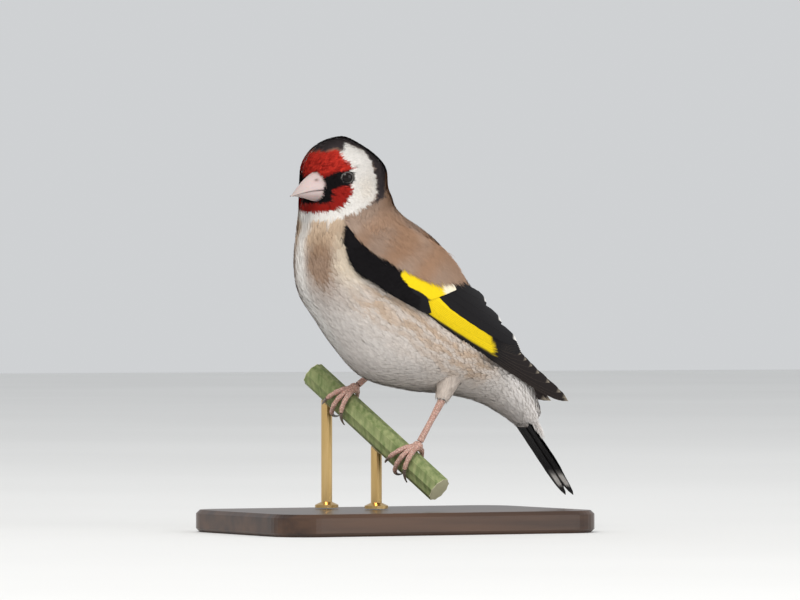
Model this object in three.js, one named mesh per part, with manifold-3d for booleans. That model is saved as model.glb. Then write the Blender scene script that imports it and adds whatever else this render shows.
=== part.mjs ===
// A life-size european goldfinch, perched on a cut thistle stem over a plain display stand.
// Millimetres, +Z up. The bird faces -Y, its left side is +X, and the stand's underside is at Z = 0.
import * as THREE from "three";
import { mergeVertices } from "three/addons/utils/BufferGeometryUtils.js";
import Module from "manifold-3d";

const wasm = await Module();
wasm.setup();

// Spacing that pieces keep from one another
const GAP = 0.3;
const SIDES = { left: 1, right: -1 };

// Head: a dome over the eye line, turned towards the bird's left
const HEAD = {
  y: -16.2,
  z: 96.3,
  rise: 10.1,
  back: 11.3,
  front: 11.6,
  halfWidth: 10.3,
};
// How squarely the dome swells to each side: under 1 is fuller than an ellipsoid, over 1 is slimmer
const SWELL = { back: 2.7, front: 1.0, side: 1.25 };
const HEAD_SQUARE = 0.87;
const HEAD_TURN = THREE.MathUtils.degToRad(20);
const TURN = { y: -13, low: 80, high: 90 };
const DOME_ANGLES = [0, 14, 28, 42, 56, 70, 84].map(THREE.MathUtils.degToRad);

// Body below the dome, from the cheeks to the tail coverts. Each row is one section of the plumage:
// the back's Y and Z, the front's or belly's Y and Z, half the width, and how round it is, where 1
// is an ellipse and less is squarer.
const BODY_ROWS = [
  [-4.8, 93.3, -27.9, 92.2, 10.6, 0.87],
  [-3.5, 90.4, -27.6, 88.4, 11.1, 0.87],
  [-2.4, 88.0, -27.2, 84.6, 11.6, 0.9],
  [0.6, 85.2, -27.5, 79.4, 12.7, 0.93],
  [5.7, 81.9, -28.1, 72.8, 14.2, 0.96],
  [11.1, 77.7, -27.0, 64.8, 15.4, 1],
  [16.2, 72.1, -22.6, 58.3, 15.9, 1],
  [21.1, 65.8, -16.5, 50.2, 15.7, 1],
  [26.1, 59.6, -8.6, 42.5, 14.6, 1],
  [30.8, 53.8, 3.6, 39.2, 12.8, 1],
  [34.8, 48.4, 16.0, 38.0, 10.4, 1],
  [38.0, 43.0, 26.5, 35.6, 7.9, 1],
  [40.6, 37.2, 34.0, 31.8, 5.9, 1],
  [42.4, 32.4, 38.4, 29.0, 4.2, 1],
];
const BODY_SECTIONS = 2;
const BODY_SEGMENTS = 28;
// Where one node ends and the next begins, in rows of the whole body
const HEAD_END = 8.2;
const NECK_END = 10.4;
const TORSO_END = 16;
const BODY_END = DOME_ANGLES.length + BODY_ROWS.length - 1;

// Eye and lids, in the straight head's frame: ahead of and beside the head's centre
const EYE = { ahead: 7.65, aside: 8.5, z: 95.4, radius: 2.4, sunk: 1.9, yaw: 33 };
const LID = { radius: 1.85, tube: 0.42, out: 0.3 };

// Bill: both halves are lofts from the face to the tip
const BILL = { baseY: -23.5, tipY: -37.0, seamBase: 92.0, seamTip: 90.2, arch: 0.8 };
const BILL_UPPER = { rise: 6.6, halfWidth: 4.8, tipY: -37.0 };
const BILL_LOWER = { drop: 3.5, halfWidth: 4.6, tipY: -36.0 };
const NOSTRIL = { y: -29.3, z: 94.9, aside: 2.5, radius: 0.45 };

// Folded wing: a runs from the bend to the tip, b up across the feathers
const WING = {
  y: -20.3,
  z: 74.0,
  dip: THREE.MathUtils.degToRad(29.4),
  crest: -0.5,
};
// The wing's outer face every 10 mm along a: how far out it is, and how tightly it curls in above
// and below its crest
const WING_ROWS = [
  [14.8, 0.02],
  [17.4, 0.02],
  [18.2, 0.02],
  [17.8, 0.03],
  [16.3, 0.045],
  [14.2, 0.06],
  [11.4, 0.06],
  [8.6, 0.06],
  [6.2, 0.06],
  [5.0, 0.06],
];
const WING_STEP = 10;
const VANE_THICK = 0.6;
const LAYER = 0.14;
// Each tier: how many, root and tip of its first and last feather, width, and the layer of the first
const WING_TIERS = {
  primaries: { count: 9, first: [18, -1.4, 79.6, 0.6], last: [20, 0.4, 59.5, 4.0], width: 3.8, layer: 13, bow: 0.9 },
  secondaries: { count: 5, first: [19, 1.2, 59.5, 4.6], last: [20, 3.6, 57.5, 6.0], width: 4.6, layer: 8, bow: 1.0 },
  tertials: { count: 3, first: [22, 5.0, 57.0, 6.2], last: [24, 9.0, 44.0, 11.0], width: 5.2, layer: 3, bow: 1.0 },
  primary_coverts: { count: 4, first: [9, -2.9, 27.5, -2.2], last: [9, -0.6, 26.0, 0.4], width: 3.2, layer: 4, bow: 0.1 },
  greater_coverts: { count: 6, first: [8, 0.2, 25.5, 0.9], last: [14, 6.6, 33.0, 7.4], width: 3.4, layer: 2, bow: 0.2 },
  median_coverts: { count: 5, first: [2, -2.2, 15.0, -1.2], last: [5, 6.2, 18.5, 6.8], width: 3.8, layer: 0.6, bow: 0.1 },
};
// Fast tips of the primaries beyond the even fan, from the outermost inwards
const PRIMARY_REACH = [0.4, 4.0, 5.6, 5.4, 3.0, 0.9, 0.2, 0, 0];
// Shoulder pad that carries the coverts, and the scapulars above it
const PAD = { from: -2.5, to: 36, low: -4.2, high: 11.6, thick: 2.6, rows: 9, columns: 7, edge: 0.7 };

// Tail: twelve feathers, the outer ones longest, under the coverts
const TAIL = {
  tipY: 54.6,
  tipZ: 10.2,
  dip: THREE.MathUtils.degToRad(53.1),
  length: 45,
  notch: 5.6,
  halfSpread: 2.1,
  rootSpread: 1.3,
  width: 5.0,
  thick: 0.6,
  layer: 0.24,
};
const TAIL_ROOT = { length: 11, halfWidth: 3.4, halfDepth: 1.7 };

// Perch: a ribbed stem, high on the bird's right and low on its left
const PERCH_MIDDLE = new THREE.Vector3(-3.25, -4, 27);
const PERCH_AXIS = new THREE.Vector3(18, 10, -15.5).normalize();
const PERCH = { radius: 3.6, ribs: 10, ribDepth: 0.3, high: 26, low: 25.5, rings: 6, taper: 0.03 };

// Feet: where along the perch each stands, and its toes
const FEET = { left: 12.9, right: -12.9 };
const TOE = { radius: 0.85, tip: 0.6, hub: 1.5 };
// Length round the perch, fan angle along it, in the order inner, middle, outer, rear
const TOES = {
  inner: { length: 8.4, fan: 20, way: 1 },
  middle: { length: 11.4, fan: 0, way: 1 },
  outer: { length: 8.8, fan: -20, way: 1 },
  rear: { length: 6.6, fan: 4, way: -1 },
};
const CLAW = { length: 4.2, radius: 0.52, tip: 0.16, curl: 0.12 };
// Ankles, in the bird's frame, and the shank's radii
const ANKLES = { left: new THREE.Vector3(9.4, 10, 36.6), right: new THREE.Vector3(-8.6, 3.4, 47.6) };
const SHANK = { foot: 0.95, middle: 0.8, ankle: 1.15 };
// Feathered thighs: from inside the belly down to just above each ankle
const THIGHS = {
  left: { root: new THREE.Vector3(7.8, 13.6, 45.5), tip: new THREE.Vector3(9.35, 9.4, 35.8), root_r: 4.8, tip_r: 1.8 },
  right: { root: new THREE.Vector3(-8.4, 1.5, 51), tip: new THREE.Vector3(-8.8, -3.4, 43.4), root_r: 5.2, tip_r: 1.9 },
};

// Stand: a plain plate with a bevelled edge, and two rods up to the perch
const BASE = { halfX: 32, halfY: 48, corner: 9, thick: 6, bevel: 1 };
const RODS = { tall: -20.4, short: 0 };
const ROD = { radius: 1.5, foot: 3.2, footHeight: 1.6 };

const MATERIALS = {
  plumage: new THREE.MeshStandardMaterial({ color: 0xb59a7a, roughness: 0.9 }),
  head: new THREE.MeshStandardMaterial({ color: 0xd8cfc4, roughness: 0.9 }),
  flight: new THREE.MeshStandardMaterial({ color: 0x1c1a1c, roughness: 0.6 }),
  bill: new THREE.MeshStandardMaterial({ color: 0xe3cfc8, roughness: 0.45 }),
  eye: new THREE.MeshStandardMaterial({ color: 0x120d0b, roughness: 0.05 }),
  leg: new THREE.MeshStandardMaterial({ color: 0xc79a86, roughness: 0.6 }),
  claw: new THREE.MeshStandardMaterial({ color: 0x6b5a52, roughness: 0.45 }),
  stem: new THREE.MeshStandardMaterial({ color: 0x8d9a63, roughness: 0.8 }),
  base: new THREE.MeshStandardMaterial({ color: 0x3a2a20, roughness: 0.5 }),
  rod: new THREE.MeshStandardMaterial({ color: 0xb08d4c, roughness: 0.3, metalness: 1 }),
};

const { lerp, clamp, smoothstep } = THREE.MathUtils;

// Closed geometry to solid and back
function solidOf(geometry) {
  const bare = geometry.clone();
  bare.deleteAttribute("normal");
  bare.deleteAttribute("uv");
  const merged = mergeVertices(bare, 1e-4);
  const mesh = new wasm.Mesh({
    numProp: 3,
    vertProperties: new Float32Array(merged.attributes.position.array),
    triVerts: new Uint32Array(merged.index.array),
  });
  return new wasm.Manifold(mesh);
}

function geometryOf(solid) {
  const mesh = solid.getMesh();
  return new THREE.BufferGeometry()
    .setAttribute("position", new THREE.BufferAttribute(mesh.vertProperties, 3))
    .setIndex(new THREE.BufferAttribute(mesh.triVerts, 1));
}

function largest(solid) {
  return solid.decompose().reduce((best, part) => (part.volume() > best.volume() ? part : best));
}

function fuse(solids) {
  return largest(solids.reduce((whole, part) => whole.add(part)));
}

// Rings of equally many points, joined into one closed skin with a fan at each end
function loft(rings) {
  const count = rings[0].length;
  const points = rings.flat();
  const faces = [];
  rings.slice(1).forEach((_, r) => {
    for (let i = 0; i < count; i++) {
      const [a, b] = [r * count + i, r * count + ((i + 1) % count)];
      faces.push(a, b, b + count, a, b + count, a + count);
    }
  });
  for (const [ring, first, flip] of [
    [rings[0], 0, true],
    [rings.at(-1), (rings.length - 1) * count, false],
  ]) {
    const middle = ring.reduce((sum, p) => sum.add(p), new THREE.Vector3()).divideScalar(count);
    points.push(middle);
    for (let i = 0; i < count; i++) {
      const [a, b] = [first + i, first + ((i + 1) % count)];
      faces.push(...(flip ? [b, a, points.length - 1] : [a, b, points.length - 1]));
    }
  }
  return new THREE.BufferGeometry().setFromPoints(points).setIndex(faces);
}

// A loft's solid, whichever way round its rings were drawn
function loftSolid(rings) {
  const made = solidOf(loft(rings));
  return made.volume() > 0 ? made : solidOf(loft(rings.map((ring) => [...ring].reverse())));
}

// Round tube along points, with a radius for each
function tube(points, radii, segments) {
  const rings = points.map((p, i) => {
    const along = points[Math.min(i + 1, points.length - 1)].clone().sub(points[Math.max(i - 1, 0)]).normalize();
    const side = new THREE.Vector3(1, 0.2, 0.1).cross(along).normalize();
    const up = along.clone().cross(side);
    return Array.from({ length: segments }, (_, k) => {
      const angle = (2 * Math.PI * k) / segments;
      return p
        .clone()
        .addScaledVector(side, radii[i] * Math.cos(angle))
        .addScaledVector(up, radii[i] * Math.sin(angle));
    });
  });
  return loftSolid(rings);
}

// Catmull-Rom through the rows of a table
function between(rows, place) {
  const last = rows.length - 1;
  const i = clamp(Math.floor(place), 0, last - 1);
  const t = place - i;
  const at = (k) => rows[clamp(k, 0, last)];
  return at(i).map((_, c) => {
    const [p0, p1, p2, p3] = [at(i - 1)[c], at(i)[c], at(i + 1)[c], at(i + 2)[c]];
    return 0.5 * (2 * p1 + (p2 - p0) * t + (2 * p0 - 5 * p1 + 4 * p2 - p3) * t * t + (3 * p1 - p0 - 3 * p2 + p3) * t ** 3);
  });
}

// The whole body as rows: the dome's from its formula, the rest from the table
const ROWS = [
  ...DOME_ANGLES.map((angle) => {
    const swell = (power) => Math.sin(angle) ** power;
    const z = HEAD.z + HEAD.rise * Math.cos(angle);
    return [
      HEAD.y + HEAD.back * swell(SWELL.back),
      z,
      HEAD.y - HEAD.front * swell(SWELL.front),
      z,
      HEAD.halfWidth * swell(SWELL.side),
      HEAD_SQUARE,
    ];
  }),
  ...BODY_ROWS,
];

function turnHead(point) {
  const share = smoothstep(point.z, TURN.low, TURN.high);
  const axis = new THREE.Vector3(0, 0, 1);
  point.y -= TURN.y;
  point.applyAxisAngle(axis, HEAD_TURN * share);
  point.y += TURN.y;
  return point;
}

// Point on the plumage: place is a row of the body, angle runs from the belly round the left side
function bodyPoint(place, angle) {
  const [backY, backZ, frontY, frontZ, halfWidth, round] = between(ROWS, place);
  const [cos, sin] = [Math.cos(angle), Math.sin(angle)];
  const share = 0.5 - 0.5 * Math.sign(cos) * Math.abs(cos) ** round;
  return turnHead(
    new THREE.Vector3(
      Math.sign(sin) * Math.abs(sin) ** round * Math.max(halfWidth, 0),
      lerp(frontY, backY, share),
      lerp(frontZ, backZ, share),
    ),
  );
}

// The same point, moved out square to the plumage
function grownPoint(place, angle, grow) {
  const step = 0.02;
  const point = bodyPoint(place, angle);
  const round = bodyPoint(place, angle + step).sub(bodyPoint(place, angle - step));
  const along = bodyPoint(place + step, angle).sub(bodyPoint(place - step, angle));
  return point.addScaledVector(along.cross(round).normalize(), grow);
}

function bodySolid(from, to, grow = 0) {
  const steps = Math.max(2, Math.round((to - from) * BODY_SECTIONS));
  const rings = Array.from({ length: steps + 1 }, (_, r) => {
    const place = Math.max(lerp(from, to, r / steps), 0.12);
    return Array.from({ length: BODY_SEGMENTS }, (_, k) =>
      grownPoint(place, (2 * Math.PI * k) / BODY_SEGMENTS, grow),
    );
  });
  return loftSolid(rings);
}

// Share of a row that is one gap long, at a row of the body
function gapShare(place) {
  const step = 0.05;
  const [a, b] = [bodyPoint(place, 0), bodyPoint(place + step, 0)];
  const [c, d] = [bodyPoint(place, Math.PI), bodyPoint(place + step, Math.PI)];
  return (GAP * step) / Math.min(a.distanceTo(b), c.distanceTo(d));
}

// Head pieces are drawn on the straight head and turned with it as one
function turned(geometry) {
  const place = new THREE.Matrix4()
    .makeTranslation(0, TURN.y, 0)
    .multiply(new THREE.Matrix4().makeRotationZ(HEAD_TURN))
    .multiply(new THREE.Matrix4().makeTranslation(0, -TURN.y, 0));
  return geometry.clone().applyMatrix4(place);
}

function eyeFrame(side) {
  const yaw = THREE.MathUtils.degToRad(EYE.yaw);
  const out = new THREE.Vector3(side * Math.cos(yaw), -Math.sin(yaw), 0);
  const surface = new THREE.Vector3(side * EYE.aside, HEAD.y - EYE.ahead, EYE.z);
  return { out, surface, centre: surface.clone().addScaledVector(out, -EYE.sunk) };
}

function eyeball(side, grow = 0) {
  const { centre } = eyeFrame(side);
  const ball = new THREE.SphereGeometry(EYE.radius + grow, 14, 10);
  ball.translate(centre.x, centre.y, centre.z);
  return solidOf(turned(ball));
}

function lidRing(side) {
  const { out, surface } = eyeFrame(side);
  const ring = new THREE.TorusGeometry(LID.radius, LID.tube, 8, 20);
  ring.applyQuaternion(new THREE.Quaternion().setFromUnitVectors(new THREE.Vector3(0, 0, 1), out));
  const place = surface.clone().addScaledVector(out, LID.out);
  ring.translate(place.x, place.y, place.z);
  return solidOf(turned(ring));
}

// Seam between the bill's halves, as a height at a share of the way to the tip
function seamHeight(share) {
  return lerp(BILL.seamBase, BILL.seamTip, share) + BILL.arch * Math.sin(Math.PI * share);
}

function billHalf(upper) {
  const shape = upper ? BILL_UPPER : BILL_LOWER;
  const [rings, segments] = [9, 14];
  const made = Array.from({ length: rings }, (_, r) => {
    const share = r / (rings - 1);
    const y = lerp(BILL.baseY, shape.tipY, share);
    const seam = seamHeight((y - BILL.baseY) / (BILL.tipY - BILL.baseY)) + (upper ? GAP / 2 : -GAP / 2);
    const shrink = Math.max(1 - share ** 1.25, 0.035);
    const halfWidth = shape.halfWidth * shrink;
    const height = upper ? shape.rise * Math.max(1 - share ** 1.1, 0.05) : -shape.drop * Math.max(1 - share ** 1.5, 0.08);
    return Array.from({ length: segments }, (_, k) => {
      const angle = (Math.PI * k) / (segments - 1);
      const lift = Math.max(Math.sin(angle), 0) ** 0.85;
      return new THREE.Vector3(halfWidth * Math.cos(angle), y, seam + height * lift);
    });
  });
  return loftSolid(made);
}

function bill(upper, face) {
  let made = solidOf(turned(geometryOf(billHalf(upper)))).subtract(face);
  if (upper) {
    for (const side of Object.values(SIDES)) {
      const pit = new THREE.SphereGeometry(NOSTRIL.radius, 8, 6);
      pit.translate(side * NOSTRIL.aside, NOSTRIL.y, NOSTRIL.z);
      made = made.subtract(solidOf(turned(pit)));
    }
  }
  return largest(made);
}

// Outer face of the folded left wing at a, b, sunk by depth
function wingPoint(a, b, depth = 0) {
  const [out, curl] = between(WING_ROWS, clamp(a, 0, 89) / WING_STEP);
  const rise = b - WING.crest;
  const x = out - curl * rise * rise;
  const slope = -2 * curl * rise;
  const lean = new THREE.Vector2(1, -slope).normalize();
  const height = b - depth * lean.y;
  return new THREE.Vector3(
    x - depth * lean.x,
    WING.y + a * Math.cos(WING.dip) + height * Math.sin(WING.dip),
    WING.z - a * Math.sin(WING.dip) + height * Math.cos(WING.dip),
  );
}

// Half the width of a vane along its length: narrow root, full blade, rounded tip
function vaneWidth(share) {
  const root = lerp(0.5, 1, smoothstep(share, 0, 0.3));
  const tip = share < 0.8 ? 1 : Math.sqrt(Math.max(1 - ((share - 0.8) / 0.2) ** 2, 0.03));
  return root * tip;
}

// A plate from root to tip on a surface given by place(along, across, depth)
function vane(place, [a0, b0, a1, b1], width, depth, thick, bow) {
  const shares = [0, 0.3, 0.6, 0.82, 0.93, 1];
  const rings = shares.map((share) => {
    const a = lerp(a0, a1, share);
    const b = lerp(b0, b1, share) - bow * Math.sin(Math.PI * share);
    const half = (width / 2) * vaneWidth(share);
    return [
      place(a, b - half, depth),
      place(a, b + half, depth),
      place(a, b + half, depth + thick),
      place(a, b - half, depth + thick),
    ];
  });
  return loftSolid(rings);
}

function tierVanes(tier, reach) {
  return Array.from({ length: tier.count }, (_, i) => {
    const share = i / (tier.count - 1);
    const line = tier.first.map((value, c) => lerp(value, tier.last[c], share));
    line[2] += reach ? reach[i] - reach[0] * (1 - share) : 0;
    return vane(wingPoint, line, tier.width, (tier.layer - i) * LAYER, VANE_THICK, tier.bow);
  });
}

function wingPad() {
  const { rows, columns } = PAD;
  const rings = Array.from({ length: rows }, (_, r) => {
    const share = r / (rows - 1);
    const a = lerp(PAD.from, PAD.to, share);
    const taper = Math.sqrt(Math.max(1 - (2 * share - 1) ** 4, 0.04));
    const middle = (PAD.low + PAD.high) / 2;
    const half = ((PAD.high - PAD.low) / 2) * taper;
    const across = (k) => middle + half * (2 * (k / (columns - 1)) - 1);
    const sunk = (k) => PAD.edge * (2 * (k / (columns - 1)) - 1) ** 4 + PAD.edge * (1 - taper);
    const outer = Array.from({ length: columns }, (_, k) => wingPoint(a, across(k), sunk(k)));
    const inner = Array.from({ length: columns }, (_, k) => wingPoint(a, across(k), sunk(k) + PAD.thick));
    return [...outer, ...inner.reverse()];
  });
  return loftSolid(rings);
}

function mirrored(solid) {
  const geometry = geometryOf(solid);
  geometry.scale(-1, 1, 1);
  const faces = Array.from(geometry.index.array);
  geometry.setIndex(faces.reverse());
  return solidOf(geometry);
}

function leftWing() {
  return fuse([
    wingPad(),
    ...tierVanes(WING_TIERS.primaries, PRIMARY_REACH),
    ...["secondaries", "tertials", "primary_coverts", "greater_coverts", "median_coverts"].flatMap((name) =>
      tierVanes(WING_TIERS[name]),
    ),
  ]);
}

// Tail frame: along its length from the tip's line, across it, and down through its layers
function tailPoint(along, across, depth) {
  const [cos, sin] = [Math.cos(TAIL.dip), Math.sin(TAIL.dip)];
  return new THREE.Vector3(across, TAIL.tipY - along * cos - depth * sin, TAIL.tipZ + along * sin - depth * cos);
}

function tail() {
  const pairs = 6;
  const vanes = [];
  for (let pair = 0; pair < pairs; pair++) {
    const share = pair / (pairs - 1);
    for (const side of Object.values(SIDES)) {
      const line = [
        TAIL.length,
        side * lerp(0.2, TAIL.rootSpread, share),
        TAIL.notch * (1 - share ** 1.3),
        side * lerp(0.7, TAIL.halfSpread, share),
      ];
      const depth = pair * TAIL.layer + (side > 0 ? 0 : TAIL.layer / 2);
      vanes.push(vane(tailPoint, line, TAIL.width, depth, TAIL.thick, 0));
    }
  }
  return fuse([...vanes, tailRoot(0)]);
}

function tailRoot(grow) {
  const box = new THREE.BoxGeometry(
    2 * (TAIL_ROOT.halfWidth + grow),
    2 * (TAIL_ROOT.halfDepth + grow),
    TAIL_ROOT.length + 2 * grow,
  );
  box.rotateX(TAIL.dip - Math.PI / 2);
  const middle = tailPoint(TAIL.length - TAIL_ROOT.length / 2 + 2, 0, 1);
  box.translate(middle.x, middle.y, middle.z);
  return solidOf(box);
}

// Plain block round the tail's feathers, cut out of the coverts to leave their slot
function tailSlot() {
  const pairs = 6;
  const depth = (pairs - 1) * TAIL.layer + TAIL.layer / 2 + TAIL.thick;
  const half = (share) => lerp(TAIL.rootSpread, TAIL.halfSpread, share) + TAIL.width / 2 + GAP;
  const rings = [0, 0.25, 0.5, 1].map((share) => {
    const along = lerp(TAIL.length + GAP, 0, share);
    return [
      tailPoint(along, -half(share), -GAP),
      tailPoint(along, half(share), -GAP),
      tailPoint(along, half(share), depth + GAP),
      tailPoint(along, -half(share), depth + GAP),
    ];
  });
  return loftSolid(rings).add(tailRoot(GAP));
}

// Stem: ribbed all round, a little thinner at its high end
function perch(grow = 0) {
  const side = new THREE.Vector3(0, 0, 1).cross(PERCH_AXIS).normalize();
  const up = PERCH_AXIS.clone().cross(side);
  const count = PERCH.ribs * 2;
  const rings = Array.from({ length: PERCH.rings }, (_, r) => {
    const along = lerp(-PERCH.high - grow, PERCH.low + grow, r / (PERCH.rings - 1));
    const radius = PERCH.radius * (1 + PERCH.taper * Math.min(along / PERCH.low, 0)) + grow;
    return Array.from({ length: count }, (_, k) => {
      const angle = (2 * Math.PI * k) / count;
      const reach = radius - (k % 2 && !grow ? PERCH.ribDepth : 0);
      return PERCH_MIDDLE.clone()
        .addScaledVector(PERCH_AXIS, along)
        .addScaledVector(side, reach * Math.cos(angle))
        .addScaledVector(up, reach * Math.sin(angle));
    });
  });
  return loftSolid(rings);
}

// The perch's own frame for a foot: over it, and round it towards the bird's front
const OVER = new THREE.Vector3(0, 0, 1).addScaledVector(PERCH_AXIS, -PERCH_AXIS.z).normalize();
const FORWARD = new THREE.Vector3(0, -1, 0).addScaledVector(PERCH_AXIS, PERCH_AXIS.y);
FORWARD.addScaledVector(OVER, -FORWARD.dot(OVER)).normalize();

function roundPerch(along, angle, radius) {
  return PERCH_MIDDLE.clone()
    .addScaledVector(PERCH_AXIS, along)
    .addScaledVector(OVER, radius * Math.cos(angle))
    .addScaledVector(FORWARD, radius * Math.sin(angle));
}

function footCentre(side) {
  return roundPerch(FEET[side], 0, PERCH.radius + GAP + TOE.radius + 0.35);
}

// Centre line of a toe and its claw, as a point at a length from the foot's centre
function toePoint(side, toe, length) {
  const ring = PERCH.radius + GAP + TOE.radius;
  const fan = THREE.MathUtils.degToRad(toe.fan) * (side === "left" ? 1 : -1);
  const past = Math.max(length - toe.length, 0);
  const radius = ring - CLAW.curl * past * (1 - past / (2.4 * CLAW.length)) + (length < 2 ? 0.35 * (1 - length / 2) : 0);
  const angle = (toe.way * length * Math.cos(fan)) / ring;
  return roundPerch(FEET[side] + length * Math.sin(fan), angle, radius);
}

function foot(side) {
  const hub = new THREE.SphereGeometry(TOE.hub, 10, 8);
  const centre = footCentre(side);
  hub.translate(centre.x, centre.y, centre.z);
  const toes = Object.values(TOES).map((toe) => {
    const steps = Math.round(toe.length / 1.1);
    const lengths = Array.from({ length: steps + 1 }, (_, i) => (toe.length * i) / steps);
    // Pads swell between the joints of the toe
    const radii = lengths.map((_, i) => lerp(TOE.radius, TOE.tip, i / steps) + (i % 2 ? 0.06 : -0.06));
    return tube(lengths.map((length) => toePoint(side, toe, length)), radii, 8);
  });
  return fuse([solidOf(hub), ...toes]).subtract(perch(GAP / 2));
}

function claw(side, toe) {
  const steps = 5;
  const lengths = Array.from({ length: steps + 1 }, (_, i) => toe.length + GAP + (CLAW.length * i) / steps);
  const radii = lengths.map((_, i) => lerp(CLAW.radius, CLAW.tip, i / steps));
  return largest(tube(lengths.map((length) => toePoint(side, toe, length)), radii, 8).subtract(perch(GAP / 2)));
}

function shank(side) {
  const [low, high] = [footCentre(side), ANKLES[side]];
  const steps = 6;
  const points = Array.from({ length: steps + 1 }, (_, i) => low.clone().lerp(high, i / steps));
  const radii = points.map((_, i) => {
    const share = i / steps;
    return share < 0.5 ? lerp(SHANK.foot, SHANK.middle, 2 * share) : lerp(SHANK.middle, SHANK.ankle, 2 * share - 1);
  });
  const hub = new THREE.SphereGeometry(TOE.hub + GAP, 12, 10);
  hub.translate(low.x, low.y, low.z);
  return tube(points, radii, 10).subtract(solidOf(hub));
}

function thigh(side, grow = 0) {
  const { root, tip, root_r: rootRadius, tip_r: tipRadius } = THIGHS[side];
  const steps = 6;
  const along = tip.clone().sub(root).normalize();
  const points = Array.from({ length: steps + 1 }, (_, i) =>
    root.clone().lerp(tip.clone().addScaledVector(along, grow), i / steps),
  );
  const radii = points.map((_, i) => {
    const share = i / steps;
    const body = lerp(rootRadius, tipRadius, share ** 0.8);
    return (share > 0.9 ? body * 0.7 : body) + grow;
  });
  return tube(points, radii, 14);
}

// Plate with rounded corners and a bevelled edge
function standBase() {
  const { halfX, halfY, corner, thick, bevel } = BASE;
  const [x, y] = [halfX - bevel, halfY - bevel];
  const outline = new THREE.Shape();
  outline.moveTo(-x + corner, -y);
  outline.lineTo(x - corner, -y);
  outline.absarc(x - corner, -y + corner, corner, -Math.PI / 2, 0);
  outline.lineTo(x, y - corner);
  outline.absarc(x - corner, y - corner, corner, 0, Math.PI / 2);
  outline.lineTo(-x + corner, y);
  outline.absarc(-x + corner, y - corner, corner, Math.PI / 2, Math.PI);
  outline.lineTo(-x, -y + corner);
  outline.absarc(-x + corner, -y + corner, corner, Math.PI, 1.5 * Math.PI);
  const plate = new THREE.ExtrudeGeometry(outline, {
    depth: thick - 2 * bevel,
    bevelEnabled: true,
    bevelThickness: bevel,
    bevelSize: bevel,
    bevelSegments: 1,
    curveSegments: 5,
  });
  plate.translate(0, 0, bevel);
  return solidOf(plate);
}

function standRod(along) {
  const top = PERCH_MIDDLE.clone().addScaledVector(PERCH_AXIS, along);
  const bottom = BASE.thick + GAP;
  const profile = [
    [0, bottom],
    [ROD.foot, bottom],
    [ROD.foot, bottom + ROD.footHeight / 2],
    [ROD.radius, bottom + ROD.footHeight],
    [ROD.radius, top.z],
    [0, top.z],
  ].map(([r, z]) => new THREE.Vector2(r, z));
  const rod = new THREE.LatheGeometry(profile, 16);
  rod.rotateX(Math.PI / 2);
  rod.translate(top.x, top.y, 0);
  return largest(solidOf(rod).subtract(perch(GAP)));
}

const goldfinch = new THREE.Group();

function add(name, solid, material) {
  const mesh = new THREE.Mesh(geometryOf(solid), material);
  mesh.name = name;
  goldfinch.add(mesh);
}

// Flesh and plumage
const face = bodySolid(0, NECK_END, GAP);
const pockets = Object.values(SIDES).map((side) => eyeball(side, GAP));
const lids = Object.values(SIDES).map(lidRing);
const skull = fuse([bodySolid(0, HEAD_END), ...lids]);
add("head", largest(pockets.reduce((whole, pocket) => whole.subtract(pocket), skull)), MATERIALS.head);
add("neck", bodySolid(HEAD_END + gapShare(HEAD_END), NECK_END), MATERIALS.plumage);
add("torso", bodySolid(NECK_END + gapShare(NECK_END), TORSO_END), MATERIALS.plumage);
const rump = bodySolid(TORSO_END + gapShare(TORSO_END), BODY_END);
add("rump", largest(rump.subtract(tailSlot())), MATERIALS.plumage);
add("tail", tail(), MATERIALS.flight);

// Face
add("bill_upper", bill(true, face), MATERIALS.bill);
add("bill_lower", bill(false, face), MATERIALS.bill);

// Sides of the bird
const body = bodySolid(0, BODY_END, GAP);
const wing = largest(leftWing().subtract(body));
for (const [side, sign] of Object.entries(SIDES)) {
  add(`eye_${side}`, eyeball(sign), MATERIALS.eye);
  add(`wing_${side}`, sign > 0 ? wing : mirrored(wing), MATERIALS.flight);
  add(`thigh_${side}`, largest(thigh(side).subtract(body)), MATERIALS.plumage);
  add(`shank_${side}`, largest(shank(side).subtract(body).subtract(thigh(side, GAP))), MATERIALS.leg);
  add(`foot_${side}`, largest(foot(side)), MATERIALS.leg);
  for (const [name, toe] of Object.entries(TOES)) {
    add(`claw_${name}_${side}`, claw(side, toe), MATERIALS.claw);
  }
}

// Mount
add("stand_perch", perch(), MATERIALS.stem);
add("stand_base", standBase(), MATERIALS.base);
for (const [name, along] of Object.entries(RODS)) {
  add(`stand_rod_${name}`, standRod(along), MATERIALS.rod);
}

export default goldfinch;
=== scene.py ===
# The looks of a perched european goldfinch on its display stand.
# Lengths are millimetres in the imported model's frame; they turn to metres as each mesh is made.
import math

import bpy
import numpy as np
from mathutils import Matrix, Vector
from mathutils.bvhtree import BVHTree


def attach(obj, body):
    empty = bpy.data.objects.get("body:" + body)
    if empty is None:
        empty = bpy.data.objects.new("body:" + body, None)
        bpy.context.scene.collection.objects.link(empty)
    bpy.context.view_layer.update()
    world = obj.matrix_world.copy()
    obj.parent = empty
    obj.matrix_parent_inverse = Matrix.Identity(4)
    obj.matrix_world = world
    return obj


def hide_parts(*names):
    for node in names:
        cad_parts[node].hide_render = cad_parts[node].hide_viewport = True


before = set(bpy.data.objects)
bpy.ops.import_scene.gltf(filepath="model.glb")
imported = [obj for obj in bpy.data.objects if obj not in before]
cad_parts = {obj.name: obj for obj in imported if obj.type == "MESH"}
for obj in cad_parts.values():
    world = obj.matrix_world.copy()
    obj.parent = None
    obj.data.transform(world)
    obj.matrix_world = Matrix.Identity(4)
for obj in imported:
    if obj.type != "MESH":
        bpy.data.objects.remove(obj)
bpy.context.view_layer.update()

MM = 0.001
SEED = 11
rng = np.random.default_rng(SEED)
SIDES = {"left": 1, "right": -1}

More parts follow.
